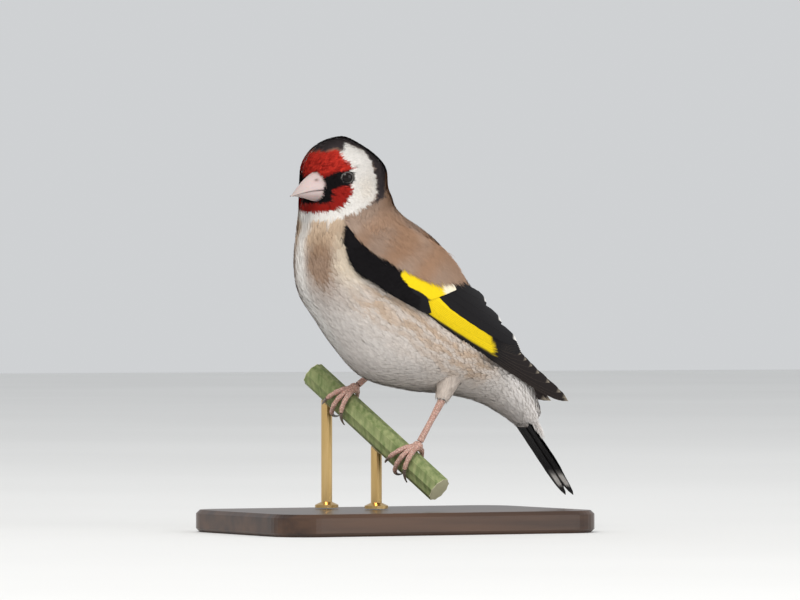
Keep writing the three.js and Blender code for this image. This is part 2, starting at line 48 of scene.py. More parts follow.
# Camera: level with the bird, on its left and ahead of it, as the photograph was taken
CAMERA_AZIMUTH = 63
CAMERA_DISTANCE = 2000
CAMERA_TARGET = (0.61, 1.20, 62.7)
VIEW_WIDTH = 216.2
SENSOR = 36
# Lights: place, size, watts and colour
LIGHTS = {
    "key": [(1500, -1300, 2200), 1100, 48, (1, 0.97, 0.93)],
    "fill": [(2000, 1100, 700), 1400, 14, (1, 1, 1)],
}
SKY, SKY_LEVEL = (0.92, 0.94, 0.96, 1), 0.68
FLOOR_HALF = 4000

# Head: a dome over the eye line, turned towards the bird's left
HEAD = {"y": -16.2, "z": 96.3, "rise": 10.1, "back": 11.3, "front": 11.6, "side": 10.3}
SWELL = {"back": 2.7, "front": 1.0, "side": 1.25}
HEAD_SQUARE = 0.87
HEAD_TURN = math.radians(20)
TURN_Y = -13
DOME_ANGLES = [0, 14, 28, 42, 56, 70, 84]

# Body: the back's Y and Z, the front's or belly's Y and Z, half the width, and how round it is
BODY_ROWS = [
    [-4.8, 93.3, -27.9, 92.2, 10.6, 0.87],
    [-3.5, 90.4, -27.6, 88.4, 11.1, 0.87],
    [-2.4, 88.0, -27.2, 84.6, 11.6, 0.9],
    [0.6, 85.2, -27.5, 79.4, 12.7, 0.93],
    [5.7, 81.9, -28.1, 72.8, 14.2, 0.96],
    [11.1, 77.7, -27.0, 64.8, 15.4, 1],
    [16.2, 72.1, -22.6, 58.3, 15.9, 1],
    [21.1, 65.8, -16.5, 50.2, 15.7, 1],
    [26.1, 59.6, -8.6, 42.5, 14.6, 1],
    [30.8, 53.8, 3.6, 39.2, 12.8, 1],
    [34.8, 48.4, 16.0, 38.0, 10.4, 1],
    [38.0, 43.0, 26.5, 35.6, 7.9, 1],
    [40.6, 37.2, 34.0, 31.8, 5.9, 1],
    [42.4, 32.4, 38.4, 29.0, 4.2, 1],
]
SKIN_ALONG, SKIN_ROUND = 150, 120

# Eye and lids, ahead of and beside the straight head's middle
EYE = {"ahead": 7.65, "aside": 8.5, "z": 95.4, "radius": 2.4, "sunk": 1.9, "yaw": math.radians(33)}
# Lid ring: its radius, and that of its rim
LID = (1.5, 0.22)
LID_AROUND, LID_RIM = 48, 12
EYE_RINGS, EYE_AROUND = 24, 40

# Bill
BILL = {"base_y": -23.5, "tip_y": -37.0, "seam_base": 92.0, "seam_tip": 90.2, "arch": 0.8}
BILL_UPPER = {"height": 6.6, "half_width": 4.8, "tip_y": -37.0, "taper": 1.1}
BILL_LOWER = {"height": -3.5, "half_width": 4.6, "tip_y": -36.0, "taper": 1.5}
MOUTH_GAP = 0.12
NOSTRIL_AT = (2.5, 29.3, 94.9)
NOSTRIL_RADIUS = 0.45
BILL_RINGS, BILL_AROUND = 80, 64
# Spots on the straight head: what feathers lie back from, the middle of the face, and the mouth
LIE_FROM = (0, -30.0, 92.5)
FACE_MIDDLE = (0, -28.0, 92.5)
MOUTH = (0, -29.0, 92.9)
BILL_BASE = (0.57, 0.45, 0.43)
BILL_TIP = (0.44, 0.36, 0.34)
# Dark of the nostril: painted shade in its hollow
BILL_DARK = (0.16, 0.09, 0.08)

# Wing: a runs from the bend to the tip, b up across the feathers, both along the folded wing's side
WING = {"y": -20.3, "z": 74.0, "dip": math.radians(29.4), "crest": -0.5}
WING_STEP = 10
WING_ROWS = [
    [14.8, 0.02],
    [17.4, 0.02],
    [18.2, 0.02],
    [17.8, 0.03],
    [16.3, 0.045],
    [14.2, 0.06],
    [11.4, 0.06],
    [8.6, 0.06],
    [6.2, 0.06],
    [5.0, 0.06],
]
# Feathers of each tier: how many, and root and tip (a, b) of the first and of the last
TIER_FEATHERS = {
    "primaries": (9, (18, -1.4, 79.6, 0.6), (20, 0.4, 59.5, 4.0)),
    "secondaries": (6, (19, 1.2, 59.5, 4.6), (20, 3.6, 57.5, 6.0)),
    "tertials": (3, (22, 5.0, 57.0, 6.2), (24, 9.0, 44.0, 11.0)),
    "primary_coverts": (6, (9, -2.7, 26.6, -1.9), (9, -0.8, 24.0, 0.3)),
    "greater_coverts": (9, (9, 0.4, 25.0, 1.3), (13, 6.8, 31.0, 7.6)),
}
# Each tier's feather width, how many layers down it begins, and how far its feathers bow
TIER_SHAPE = {
    "primaries": (3.8, 17, 0.9),
    "secondaries": (4.6, 9, 1.0),
    "tertials": (5.2, 2.5, 1.0),
    "primary_coverts": (2.2, 5, 0.1),
    "greater_coverts": (2.3, 3, 0.2),
}
# How far each primary reaches past the first one's line
PRIMARY_REACH = [0.4, 4.0, 5.6, 5.4, 3.0, 0.9, 0.2, 0, 0]
# How thick a layer is, and how many layers out each feather lies from the one before it
WING_LAYER, LAYER_STEP = 0.055, 0.9
VANE_THICK = 0.1
VANE_ROWS, VANE_RIM = 36, 0.02
# Height of a vane's shaft, how far its edges droop, and the slant of its barbs
SHAFT_RIDGE, VANE_DROOP, BARB_SLANT = 0.05, 0.04, 1.3
# Distance between the ribs that the barbs of a vane make
BARB_PITCH = 0.42
# Markings of the wing, as outlines in (a, b)
YELLOW_COVERTS = [
    (13.6, 8.0), (13.6, 2.0), (14.8, 1.3), (16.8, 0.6), (20.6, 1.2), (23.4, 0.9), (32, 1.0), (32, 8.0),
]
WHITE_COVERTS = [(26.0, 9.5), (26.4, 6.4), (27.6, 4.9), (29.8, 4.7), (33, 5.4), (33, 9.5)]
YELLOW_PANEL = [
    (18, -2.3), (18, 2.5), (27.0, 4.9), (31.1, 3.7), (34.4, 3.1), (38.2, 3.3), (42.0, 3.5), (43.8, 3.1),
    (46.3, 2.9), (48.1, 1.8), (50.3, 0.0), (51, -1.5), (48.2, -1.6), (44.9, -1.9), (41.1, -2.1),
    (35.5, -2.4), (29.9, -2.5),
]
LESSER_COVERTS = [
    (-3.8, 6.4), (-2.6, 2.9), (0.0, 0.0), (2.4, -2.4), (7, -3.0), (13, -3.5), (19, -3.4), (23, -2.6),
    (22, -0.6), (14.2, 1.6), (14.0, 3.4), (10.5, 3.9), (6.5, 3.9), (1.7, 4.9), (-3.0, 6.4),
]
SCAPULARS = [
    (-2.6, 6.9), (1.7, 4.8), (6.5, 3.8), (10.5, 3.8), (13.6, 3.4), (17.6, 4.1), (22, 4.4), (26.0, 4.9),
    (27.6, 6.2), (29.5, 7.8), (32.5, 9.4), (35, 11.4), (30, 14.5), (14, 14.5), (6, 12), (1, 9.4),
]

# Tail
TAIL = {"tip_y": 54.6, "tip_z": 10.2, "dip": math.radians(53.1), "length": 45, "notch": 5.6}
TAIL_SPREAD = {"root": 1.3, "tip": 2.1}
TAIL_WIDTH = 5.0
TAIL_LAYER = 0.24
# The coverts round the tail's root: their middle line, and half widths across and through it
TAIL_COVERTS = {"root": (0, 38.4, 33.4), "tip": (0, 43.9, 24.9), "wide": (3.9, 2.5), "narrow": (3.2, 1.1)}

# Perch
PERCH_MIDDLE = Vector((-3.25, -4, 27))
PERCH_AXIS = Vector((18, 10, -15.5)).normalized()
PERCH_ENDS = (26, 25.5)
# How far the pith's colour runs in from a cut end
PITH_SHOWS = 0.1

# Feathered thighs: root, tip and their radii
THIGHS = {
    "left": [(7.8, 13.6, 45.5), (9.35, 9.4, 35.8), 4.8, 1.8],
    "right": [(-8.4, 1.5, 51), (-8.8, -3.4, 43.4), 5.2, 1.9],
}
THIGH_SKIN = 0.5
THIGH_RINGS, THIGH_AROUND = 14, 28

# Step along rows and round them for slopes on the body's surface
STEP = 0.02
SKIN_DEPTH = {"body": 1.0, "head": 0.4}

# Palette, as linear light
RED = (0.66, 0.040, 0.024)
RED_DEEP = (0.26, 0.008, 0.006)
WHITE = (0.92, 0.89, 0.85)
CREAM = (0.82, 0.70, 0.54)
BLACK = (0.007, 0.006, 0.007)
CROWN = (0.060, 0.048, 0.050)
TAWNY = (0.36, 0.215, 0.135)
BUFF = (0.66, 0.47, 0.29)
BROWN = (0.28, 0.155, 0.080)
GREY_WHITE = (0.80, 0.75, 0.71)
RUMP = (0.84, 0.80, 0.77)
FLANK = (0.62, 0.45, 0.31)
# Paler grey laid over the tawny back and scapulars: painted sheen
BACK_SHEEN = (0.38, 0.28, 0.22)
YELLOW = (0.86, 0.62, 0.004)
CREAM_TIP = (0.86, 0.80, 0.66)
WING_BROWN = (0.016, 0.011, 0.010)
WING_EDGE = (0.22, 0.17, 0.13)


def smooth(value, low, high):
    share = np.clip((np.asarray(value, float) - low) / (high - low), 0, 1)
    return share * share * (3 - 2 * share)


def mix(first, second, share):
    share = np.asarray(share, float)[..., None]
    return np.asarray(first, float) * (1 - share) + np.asarray(second, float) * share


def mix_into(colour, other, share):
    return colour * (1 - share[..., None]) + np.asarray(other) * share[..., None]


def blob(first, second, middle, size):
    """1 in the middle of a soft round patch, falling to 0 outside it."""
    return np.exp(-(((first - middle[0]) / size[0]) ** 2) - ((second - middle[1]) / size[1]) ** 2)


def crossed(first, second):
    return np.meshgrid(first, second, indexing="ij")


def circle(count):
    """Angles evenly round a full turn."""
    return np.arange(count) * 2 * math.pi / count


def unit(vectors):
    return vectors / np.maximum(np.linalg.norm(vectors, axis=-1, keepdims=True), 1e-9)


def between(rows, place):
    """Catmull-Rom through the rows of a table."""
    rows = np.asarray(rows, float)
    last = len(rows) - 1
    place = np.asarray(place, float)
    index = np.clip(np.floor(place).astype(int), 0, last - 1)
    t = (place - index)[..., None]
    p0, p1, p2, p3 = (rows[np.clip(index + k, 0, last)] for k in (-1, 0, 1, 2))
    return 0.5 * (
        2 * p1 + (p2 - p0) * t + (2 * p0 - 5 * p1 + 4 * p2 - p3) * t**2 + (3 * p1 - p0 - 3 * p2 + p3) * t**3
    )


# Body surface


def dome_row(angle):
    sine = math.sin(math.radians(angle))
    z = HEAD["z"] + HEAD["rise"] * math.cos(math.radians(angle))
    back = HEAD["y"] + HEAD["back"] * sine ** SWELL["back"]
    front = HEAD["y"] - HEAD["front"] * sine ** SWELL["front"]
    return [back, z, front, z, HEAD["side"] * sine ** SWELL["side"], HEAD_SQUARE]


ROWS = [dome_row(angle) for angle in DOME_ANGLES] + BODY_ROWS
BODY_END = len(ROWS) - 1


def turn(points, share):
    """Points turned with the head, by a share of its full turn."""
    angle = HEAD_TURN * share
    x, y = points[..., 0], points[..., 1] - TURN_Y
    turned = points.copy()
    turned[..., 0] = x * np.cos(angle) - y * np.sin(angle)
    turned[..., 1] = x * np.sin(angle) + y * np.cos(angle) + TURN_Y
    return turned


def on_head(spot):
    """A spot of the straight head, where the turned head has it."""
    return turn(np.array([spot], float), np.ones(1))[0]


def body_point(place, angle):
    """Outer face of the plumage: place is a row, angle runs from the belly round the left side."""
    row = between(ROWS, place)
    cos, sin = np.cos(angle), np.sin(angle)
    square = row[..., 5]
    share = 0.5 - 0.5 * np.sign(cos) * np.abs(cos) ** square
    x = np.sign(sin) * np.abs(sin) ** square * np.maximum(row[..., 4], 0)
    y = row[..., 2] + (row[..., 0] - row[..., 2]) * share
    z = row[..., 3] + (row[..., 1] - row[..., 3]) * share
    points = np.stack([x, y, z], axis=-1)
    return turn(points, smooth(z, 80, 90))


def body_along(place, angle):
    return unit(body_point(place + STEP, angle) - body_point(place - STEP, angle))


def body_normal(place, angle):
    round_it = body_point(place, angle + STEP) - body_point(place, angle - STEP)
    return unit(np.cross(body_along(place, angle), round_it))


def coat_depth(points):
    """How deep the skin lies under the plumage's outer face."""
    head = smooth(points[..., 2], 78, 92)
    return SKIN_DEPTH["body"] + (SKIN_DEPTH["head"] - SKIN_DEPTH["body"]) * head


# Meshes


def placed(name, data):
    made = bpy.data.objects.new(name, data)
    bpy.context.scene.collection.objects.link(made)
    return made


def new_object(name, points, faces, material, tint=None, bake=None, barb=None, facing=None):
    """A mesh piece from points in millimetres and faces as index arrays of one width each."""
    faces = [np.asarray(group, int) for group in faces]
    mesh = bpy.data.meshes.new(name)
    mesh.vertices.add(len(points))
    mesh.vertices.foreach_set("co", (np.asarray(points, np.float32) * MM).ravel())
    corners = np.concatenate([group.ravel() for group in faces])
    widths = np.concatenate([np.full(len(group), group.shape[1]) for group in faces])
    mesh.loops.add(len(corners))
    mesh.loops.foreach_set("vertex_index", corners.astype(np.int32))
    mesh.polygons.add(len(widths))
    starts = np.concatenate([[0], np.cumsum(widths)[:-1]])
    mesh.polygons.foreach_set("loop_start", starts.astype(np.int32))
    mesh.update(calc_edges=True)
    mesh.polygons.foreach_set("use_smooth", np.ones(len(widths), bool))
    if facing is not None:
        mesh.normals_split_custom_set_from_vertices(facing.tolist())
    if tint is not None:
        colours = np.ones((len(points), 4), np.float32)
        colours[:, :3] = tint
        layer = mesh.color_attributes.new("tint", "FLOAT_COLOR", "POINT")
        layer.data.foreach_set("color", colours.ravel())
    if barb is not None:
        layer = mesh.attributes.new("barb", "FLOAT", "POINT")
        layer.data.foreach_set("value", np.asarray(barb, np.float32))
    if bake is not None:
        layer = mesh.uv_layers.new(name="OFBake")
        layer.uv.foreach_set("vector", np.asarray(bake, np.float32)[corners].ravel())
    mesh.materials.append(material)
    made = placed(name, mesh)
    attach(made, "root")
    return made


def grid_faces(rows, columns, closed=False, start=0):
    """Quads over a grid of points, row after row."""
    r, c = crossed(np.arange(rows - 1), np.arange(columns if closed else columns - 1))
    a = start + r * columns + c
    b = start + r * columns + (c + 1) % columns
    return np.stack([a, b, b + columns, a + columns], axis=-1).reshape(-1, 4)


# Materials


def material(name, roughness=0.7, **inputs):
    made = bpy.data.materials.new(name)
    made.use_nodes = True
    for key, value in {"Roughness": roughness, **inputs}.items():
        shader_of(made).inputs[key.replace("_", " ")].default_value = value
    return made


def node(made, kind, **settings):
    added = made.node_tree.nodes.new(kind)
    for key, value in settings.items():
        if key in added.inputs:
            added.inputs[key].default_value = value
        else:
            setattr(added, key, value)
    return added


def link(made, source, target):
    made.node_tree.links.new(source, target)


def shader_of(made):
    return made.node_tree.nodes["Principled BSDF"]


def laid_out(made, target):
    """A texture or mapping node that follows the object's own space."""
    link(made, node(made, "ShaderNodeTexCoord").outputs["Object"], target.inputs["Vector"])


def coloured(made, source):
    link(made, source, shader_of(made).inputs["Base Color"])


def tinted(made, spots=0.10, scale=2500):
    """Base colour from the mesh's own tint, with fine uneven patches."""
    tint = node(made, "ShaderNodeVertexColor", layer_name="tint")
    noise = node(made, "ShaderNodeTexNoise", Scale=scale, Detail=3)
    laid_out(made, noise)
    level = node(made, "ShaderNodeMapRange")
    level.inputs["To Min"].default_value = 1 - spots
    level.inputs["To Max"].default_value = 1 + spots
    link(made, noise.outputs["Fac"], level.inputs["Value"])
    scaled = node(made, "ShaderNodeVectorMath", operation="SCALE")
    link(made, tint.outputs["Color"], scaled.inputs[0])
    link(made, level.outputs["Result"], scaled.inputs["Scale"])
    coloured(made, scaled.outputs["Vector"])
    return made


def bumped(made, height, strength, distance):
    bump = node(made, "ShaderNodeBump", Strength=strength, Distance=distance)
    link(made, height, bump.inputs["Height"])
    link(made, bump.outputs["Normal"], shader_of(made).inputs["Normal"])


def feather_material():
    return tinted(material("feather", roughness=0.8, Specular_IOR_Level=0.12), spots=0.06)


def vane_material():
    """Flight feathers: the mesh's tint, with barbs as a fine ribbed relief."""
    made = tinted(material("vane", roughness=0.6, Specular_IOR_Level=0.15), spots=0.10, scale=1500)
    barb = node(made, "ShaderNodeAttribute", attribute_name="barb")
    turns = node(made, "ShaderNodeMath", operation="MULTIPLY")
    turns.inputs[1].default_value = 2 * math.pi / BARB_PITCH
    wave = node(made, "ShaderNodeMath", operation="SINE")
    link(made, barb.outputs["Fac"], turns.inputs[0])
    link(made, turns.outputs["Value"], wave.inputs[0])
    bumped(made, wave.outputs["Value"], 0.2, 0.00003)
    return made


def streaked(made, low, high, scale, stretch, rotation=(0, 0, 0), detail=6):
    """Base colour between two colours by noise drawn out along one axis."""
    turned = node(made, "ShaderNodeMapping")
    turned.inputs["Rotation"].default_value = rotation
    turned.inputs["Scale"].default_value = stretch
    noise = node(made, "ShaderNodeTexNoise", Scale=scale, Detail=detail)
    ramp = node(made, "ShaderNodeValToRGB")
    ramp.color_ramp.elements[0].position = 0.3
    ramp.color_ramp.elements[1].position = 0.7
    ramp.color_ramp.elements[0].color = (*low, 1)
    ramp.color_ramp.elements[1].color = (*high, 1)
    laid_out(made, turned)
    link(made, turned.outputs["Vector"], noise.inputs["Vector"])
    link(made, noise.outputs["Fac"], ramp.inputs["Fac"])
    coloured(made, ramp.outputs["Color"])
    return noise, ramp


def leg_material():
    """Pink skin with small plates, parted by darker creases."""
    made = material("leg", roughness=0.5, Subsurface_Weight=0.1, Subsurface_Scale=0.0006)
    plates = node(made, "ShaderNodeTexVoronoi", feature="DISTANCE_TO_EDGE", Scale=1500)
    ramp = node(made, "ShaderNodeValToRGB")
    ramp.color_ramp.elements[0].color = (0.34, 0.19, 0.15, 1)
    ramp.color_ramp.elements[1].color = (0.60, 0.38, 0.31, 1)
    ramp.color_ramp.elements[1].position = 0.22
    laid_out(made, plates)
    link(made, plates.outputs["Distance"], ramp.inputs["Fac"])
    coloured(made, ramp.outputs["Color"])
    bumped(made, plates.outputs["Distance"], 0.6, 0.0003)
    return made


def plain_material(name):
    """A finish from the table below, streaked between two colours."""
    inputs, *streaks = PLAIN[name]
    made = material(name, **inputs)
    streaked(made, *streaks)
    return made


# Inputs, the two colours, and the streaks' scale and stretch
PLAIN = {
    "claw": [{"roughness": 0.35}, (0.10, 0.075, 0.06), (0.22, 0.17, 0.14), 900, (1, 1, 1)],
    "brass": [{"roughness": 0.28, "Metallic": 1}, (0.60, 0.40, 0.16), (0.74, 0.52, 0.24), 700, (1, 1, 0.1)],
    "eye": [
        {"roughness": 0.03, "Specular_IOR_Level": 0.22},
        (0.004, 0.002, 0.002),
        (0.010, 0.006, 0.004),
        900,
        (1, 1, 1),
    ],
    "lid": [{}, (0.035, 0.032, 0.030), (0.12, 0.11, 0.10), 3000, (1, 1, 1)],
    "floor": [{"roughness": 0.9}, (0.80, 0.80, 0.79), (0.84, 0.84, 0.83), 3, (1, 1, 1)],
}


def stem_material():
    """Green stem streaked lengthwise, with pale pith at its cut ends."""
    made = material("stem", roughness=0.7, Specular_IOR_Level=0.3)
    turned = PERCH_AXIS.rotation_difference(Vector((0, 0, 1))).to_euler()
    green, pale = (0.12, 0.17, 0.055), (0.30, 0.33, 0.15)
    noise, ramp = streaked(made, green, pale, 900, (1, 1, 0.05), tuple(turned))
    bumped(made, noise.outputs["Fac"], 0.5, 0.0004)
    where = node(made, "ShaderNodeTexCoord")
    along = node(made, "ShaderNodeVectorMath", operation="DOT_PRODUCT")
    along.inputs[1].default_value = PERCH_AXIS
    link(made, where.outputs["Object"], along.inputs[0])
    middle = PERCH_MIDDLE.dot(PERCH_AXIS)
    within = node(made, "ShaderNodeMath", operation="COMPARE")
    within.inputs[1].default_value = (middle + (PERCH_ENDS[1] - PERCH_ENDS[0]) / 2) * MM
    within.inputs[2].default_value = ((PERCH_ENDS[0] + PERCH_ENDS[1]) / 2 - PITH_SHOWS) * MM
    link(made, along.outputs["Value"], within.inputs[0])
    blend = node(made, "ShaderNodeMix", data_type="RGBA")
    blend.inputs["A"].default_value = (0.62, 0.60, 0.40, 1)
    link(made, within.outputs["Value"], blend.inputs["Factor"])
    link(made, ramp.outputs["Color"], blend.inputs["B"])
    coloured(made, blend.outputs["Result"])
    return made


def wood_material():
    made = material("wood", roughness=0.32)
    noise, _ = streaked(made, (0.022, 0.010, 0.006), (0.085, 0.040, 0.020), 260, (1, 0.06, 1), detail=9)
    bumped(made, noise.outputs["Fac"], 0.08, 0.0002)
    return made


def bill_material():
    made = material("bill", roughness=0.36, Subsurface_Weight=0.15, Subsurface_Scale=0.0006)
    return tinted(made, spots=0.05, scale=900)


# Markings


def head_place(points):
    """Angle from the bill round to the nape in degrees, and height, on the straight head."""
    straight = turn(points, -np.ones(points.shape[:-1]))
    around = np.degrees(np.arctan2(np.abs(straight[..., 0]), HEAD["y"] - straight[..., 1]))
    return around, points[..., 2]


def inside(first, second, outline):
    """How far inside an outline each pair of coordinates lies, below 0 outside."""
    outline = np.asarray(outline, float)
    spot = np.stack([first, second], axis=-1)
    best = np.full(first.shape, 1e9)
    crossings = np.zeros(first.shape, int)
    for start, end in zip(outline, np.roll(outline, -1, axis=0)):
        edge = end - start
        share = np.clip(((spot - start) @ edge) / max(edge @ edge, 1e-9), 0, 1)
        best = np.minimum(best, np.linalg.norm(spot - start - share[..., None] * edge, axis=-1))
        spans = (start[1] > spot[..., 1]) != (end[1] > spot[..., 1])
        reach = start[0] + (spot[..., 1] - start[1]) * edge[0] / (edge[1] if edge[1] else 1e-9)
        crossings += spans & (spot[..., 0] < reach)
    return np.where(crossings % 2, best, -best)


# Millimetres round the head for each degree
PER_DEGREE = 0.19
# Outlines on one half of the head, from the middle line round: degrees from the bill, and height
RED_FOREHEAD = [
    (-20, 102.8), (13, 102.6), (31, 103.0), (38, 102.5), (43, 101.4), (48, 100.3), (57, 99.2),
    (57, 97.6), (40, 97.3), (29, 96.7), (21, 95.8), (15, 95.8), (7, 96.6), (-20, 97.4),
]
RED_CHEEK = [
    (32, 92.4), (41, 92.9), (57, 93.5), (58, 91.5), (56, 89.8), (52, 88.0), (46, 86.6), (36, 85.6),
    (22, 85.1), (-20, 85.1), (-20, 89.2), (8, 88.1), (23, 88.1), (30, 88.6),
]
BLACK_FACE = [
    (-20, 98.6), (7, 98), (15, 97.4), (29, 98.2), (40, 98.6), (55, 98.4), (60, 95.6), (56, 93.4),
    (40, 92.0), (33, 91.4), (31, 87.8), (-20, 88.0),
]
WHITE_FACE = [
    (51, 105.4), (44, 104.2), (40, 102.0), (40, 85), (32, 85.4), (-20, 85.4), (-20, 82.6), (11, 81.4),
    (38, 81.6), (50, 82.6), (64, 83.8), (76, 85.4), (87, 87.3), (96, 89.5), (102, 92.0), (102, 94.3),
    (99, 96.4), (96, 98.5), (96, 100.7), (92, 102.3), (81, 103.3), (67, 103.8),
]
CROWN_BLACK = [
    (-20, 103), (13, 102.6), (31, 103.4), (47, 102.6), (51, 105.0), (67, 103.8), (81, 103.3),
    (92, 102.3), (97, 99), (100, 96), (102, 93), (100, 90), (92, 87.6), (106, 88.8), (118, 90.6),
    (124, 94), (128, 97), (200, 98), (200, 130), (-20, 130),
]
# Soft patches: middle and size. Ear by distance round the head and height, breast by distance out
# and height, and the shade under the wing's tip by (a, b)
EAR_TINT = ((15.6, 92), (3.4, 4))
BREAST_PATCH = ((7.5, 68.5), (4.6, 7.5))
WING_SHADE = ((55, -2.8), (7, 1.6))
# Lower edge of the brown back: a, and b there
BACK_EDGE = ((-16, -6, 8, 60), (9.5, 6.6, 4.5, 4.0))
# Radians of the flank's stripes to each millimetre
STRIPES = 2.1


def ragged(points, size, amount, salt):
    """Smooth seeded wobble for a border, from a few waves."""
    waves = np.random.default_rng(SEED + salt)
    total = np.zeros(points.shape[:-1])
    for _ in range(6):
        direction = unit(waves.normal(size=3))
        pitch = 2 * math.pi / size * waves.uniform(0.6, 1.8)
        total += np.sin(points @ direction * pitch + waves.uniform(0, 6.3))
    return total * amount / 3


def wing_frame(points):
    """A point's (a, b) in the frame of the wing on its own side."""
    y, z = points[..., 1] - WING["y"], points[..., 2] - WING["z"]
    cos, sin = math.cos(WING["dip"]), math.sin(WING["dip"])
    return y * cos - z * sin, y * sin + z * cos


def markings(points):
    """The plumage's colour at points on its outer face."""
    around, height = head_place(points)
    around = (around + ragged(points, 1.6, 2.0, 1)) * PER_DEGREE
    height = height + ragged(points, 1.5, 0.2, 2)

    def share(outline, blur):
        return smooth(inside(around, height, np.asarray(outline) * (PER_DEGREE, 1)), -blur, blur)

    colour = body_colour(points)
    colour = mix_into(colour, WHITE, share(WHITE_FACE, 0.6))
    ear = blob(around, height, *EAR_TINT)
    colour = mix_into(colour, CREAM, 0.30 * ear * share(WHITE_FACE, 0.4))
    colour = mix_into(colour, CROWN, share(CROWN_BLACK, 0.5))
    colour = mix_into(colour, BLACK, share(BLACK_FACE, 0.3))
    deep = 0.35 + ragged(points, 0.9, 0.5, 5) - 0.10 * (height - 99)
    red = mix(RED, RED_DEEP, np.clip(deep, 0, 0.75))
    return mix_into(colour, red, np.maximum(share(RED_FOREHEAD, 0.4), share(RED_CHEEK, 0.4)))


def body_colour(points):
    """Back, breast, flanks, belly, rump and the black shoulder before the wing."""
    x, y, z = np.abs(points[..., 0]), points[..., 1], points[..., 2]
    a, b = wing_frame(points)
    b = b + ragged(points, 7, 0.7, 3)
    colour = np.broadcast_to(np.asarray(GREY_WHITE), points.shape).copy()
    stripes = 0.5 + 0.5 * np.sin(STRIPES * b + 1.5 * ragged(points, 11, 1.0, 4))
    flank = smooth(b, -16, -7) * smooth(x, 5, 11) * smooth(a, 6, 16) * (1 - smooth(a, 52, 62))
    colour = mix_into(colour, FLANK, (0.30 + 0.55 * stripes) * flank)
    front = smooth(-y, 8, 16)
    colour = mix_into(colour, BUFF, 0.75 * front * smooth(z, 69, 76) * (1 - smooth(z, 82, 85)))
    colour = mix_into(colour, BROWN, np.clip(1.25 * blob(x, z, *BREAST_PATCH) * front, 0, 0.85))
    beside = smooth(b, -12, -4) * (1 - smooth(b, 0.5, 3)) * (1 - smooth(a, 6, 14))
    colour = mix_into(colour, CREAM, 0.8 * beside * smooth(x, 9.5, 12.5))
    colour = mix_into(colour, WHITE, 0.9 * (1 - smooth(x, 0.8, 3.8)) * front)
    above = smooth(b - np.interp(a, *BACK_EDGE), -1.0, 1.4)
    # Paler grey patches over the back, more towards the sides: painted sheen, in uneven patches
    back_sheen = np.clip(0.4 + ragged(points, 16, 0.5, 6), 0, 0.8) * smooth(x, 3, 11)
    colour = mix_into(colour, mix(TAWNY, BACK_SHEEN, back_sheen), above)
    shoulder = smooth(inside(a, b, LESSER_COVERTS), -0.4, 0.4) * smooth(x, 7, 9)
    colour = mix_into(colour, BLACK, shoulder)
    shade = blob(a, b, *WING_SHADE)
    colour = mix_into(colour, BLACK, 0.8 * shade)
    return mix_into(colour, RUMP, smooth(y + 0.25 * (z - 45), 29, 34) * (1 - shade))


# Coat: a tuft is a small feather, made of narrow ribbons fanned over one middle line
KNOTS = 4
STRANDS = 8
PIECE_TUFTS = 4500
# Tufts to the square millimetre
BODY_TUFTS, HEAD_TUFTS = 2.2, 7.5
# Lengths, and how much longer the belly's are
BODY_TUFT, HEAD_TUFT = 6.4, 1.7
BELLY_TUFT = 2.0
# Half a tuft's width, and how far its tip rises, as shares of its length
TUFT_SPREAD = 0.2
TUFT_RISE = 0.004
# How far tufts are lifted off the outer face, how much deeper the rump's lie, and their roots'
# share of the skin's depth
TUFT_LIFT, RUMP_DROP = -0.22, 0.4
TUFT_SINK = 0.75
STRAND_WIDTH, STRAND_WIDEN = 0.05, 0.017
# Unevenness of a tuft's ribbons, and how much shorter the outermost are
FAN_NOISE, REACH_NOISE, RISE_NOISE = 0.2, 0.12, 0.25
REACH_DROP = 0.20
ROOT_SHADE = 0.92
SKIN_SHADE = 0.85
# How far the flank's feathers follow the wing
FLANK_LIE = 0.75
# Bare rings round the mouth and the eyes
MOUTH_BARE, EYE_BARE = 3.7, 1.7
# Where the body is hidden: under the wing within ranges of a and b, under the scapulars ahead of
# an a and this far inside their outline, and both only so far out
UNDER_WING = {"a": (3, 58), "b": (-2.9, 8), "out": 5}
UNDER_SCAPULARS = {"to": 24, "edge": 2}
# Sheets of small feathers over the shoulder: outline, how many, length, dip in degrees, lift
SHEETS = {
    "lesser_coverts": (LESSER_COVERTS, 1600, 2.4, 12, 0.12),
    "scapulars": (SCAPULARS, 2600, 4.6, 20, 0.35),
}
SHEET_SINK = 0.35
# Sleeves of small feathers: how many, where along it their roots lie, their lengths, how deep the
# roots lie, the level and spread of their colour, and where their strip of the unwrap begins
SLEEVES = {
    # The thigh's colour level under 1 darkens its feathers: painted shade under the belly
    "thigh": (520, (-0.2, 0.80), (2.8, 3.8), THIGH_SKIN, (0.86, 0.04), 0.02),
    "tail": (1400, (-0.3, 0.45), (4, 6), 0.3, (1, 0.035), 0.5),
}
# How far along a sleeve its feathers may reach
SLEEVE_END = 1.05
PATCH = 0.0015


def surface_tree():
    """The plumage's outer face, for laying feathers on."""
    points, faces, _ = body_grid(0)
    return BVHTree.FromPolygons([Vector(p) for p in points], [tuple(f) for f in faces])


def body_grid(sink):
    """Grid over the whole body, sunk under the plumage by a share of its depth, with an unwrap."""
    rows = np.linspace(0.06, BODY_END, SKIN_ALONG)
    place, angle = crossed(rows, np.linspace(-math.pi, math.pi, SKIN_ROUND + 1))
    points = body_point(place, angle)
    points = points - body_normal(place, angle) * (coat_depth(points) * sink)[..., None]
    faces = grid_faces(SKIN_ALONG, SKIN_ROUND + 1)
    return points.reshape(-1, 3), faces, unwrap_at(place, angle).reshape(-1, 2)


def unwrap_at(place, angle):
    """Where a place on the body lies on its unwrap."""
    turns = angle / (2 * math.pi) + 0.5
    return np.stack([0.02 + 0.76 * turns, 0.02 + 0.96 * place / BODY_END], axis=-1)


def strip_at(left, angle, share):
    """Where a place on a sleeve lies, in a strip at the unwrap's top that begins at left."""
    return np.stack([left + 0.3 * angle / (2 * math.pi), 0.985 + 0.01 * share], axis=-1)


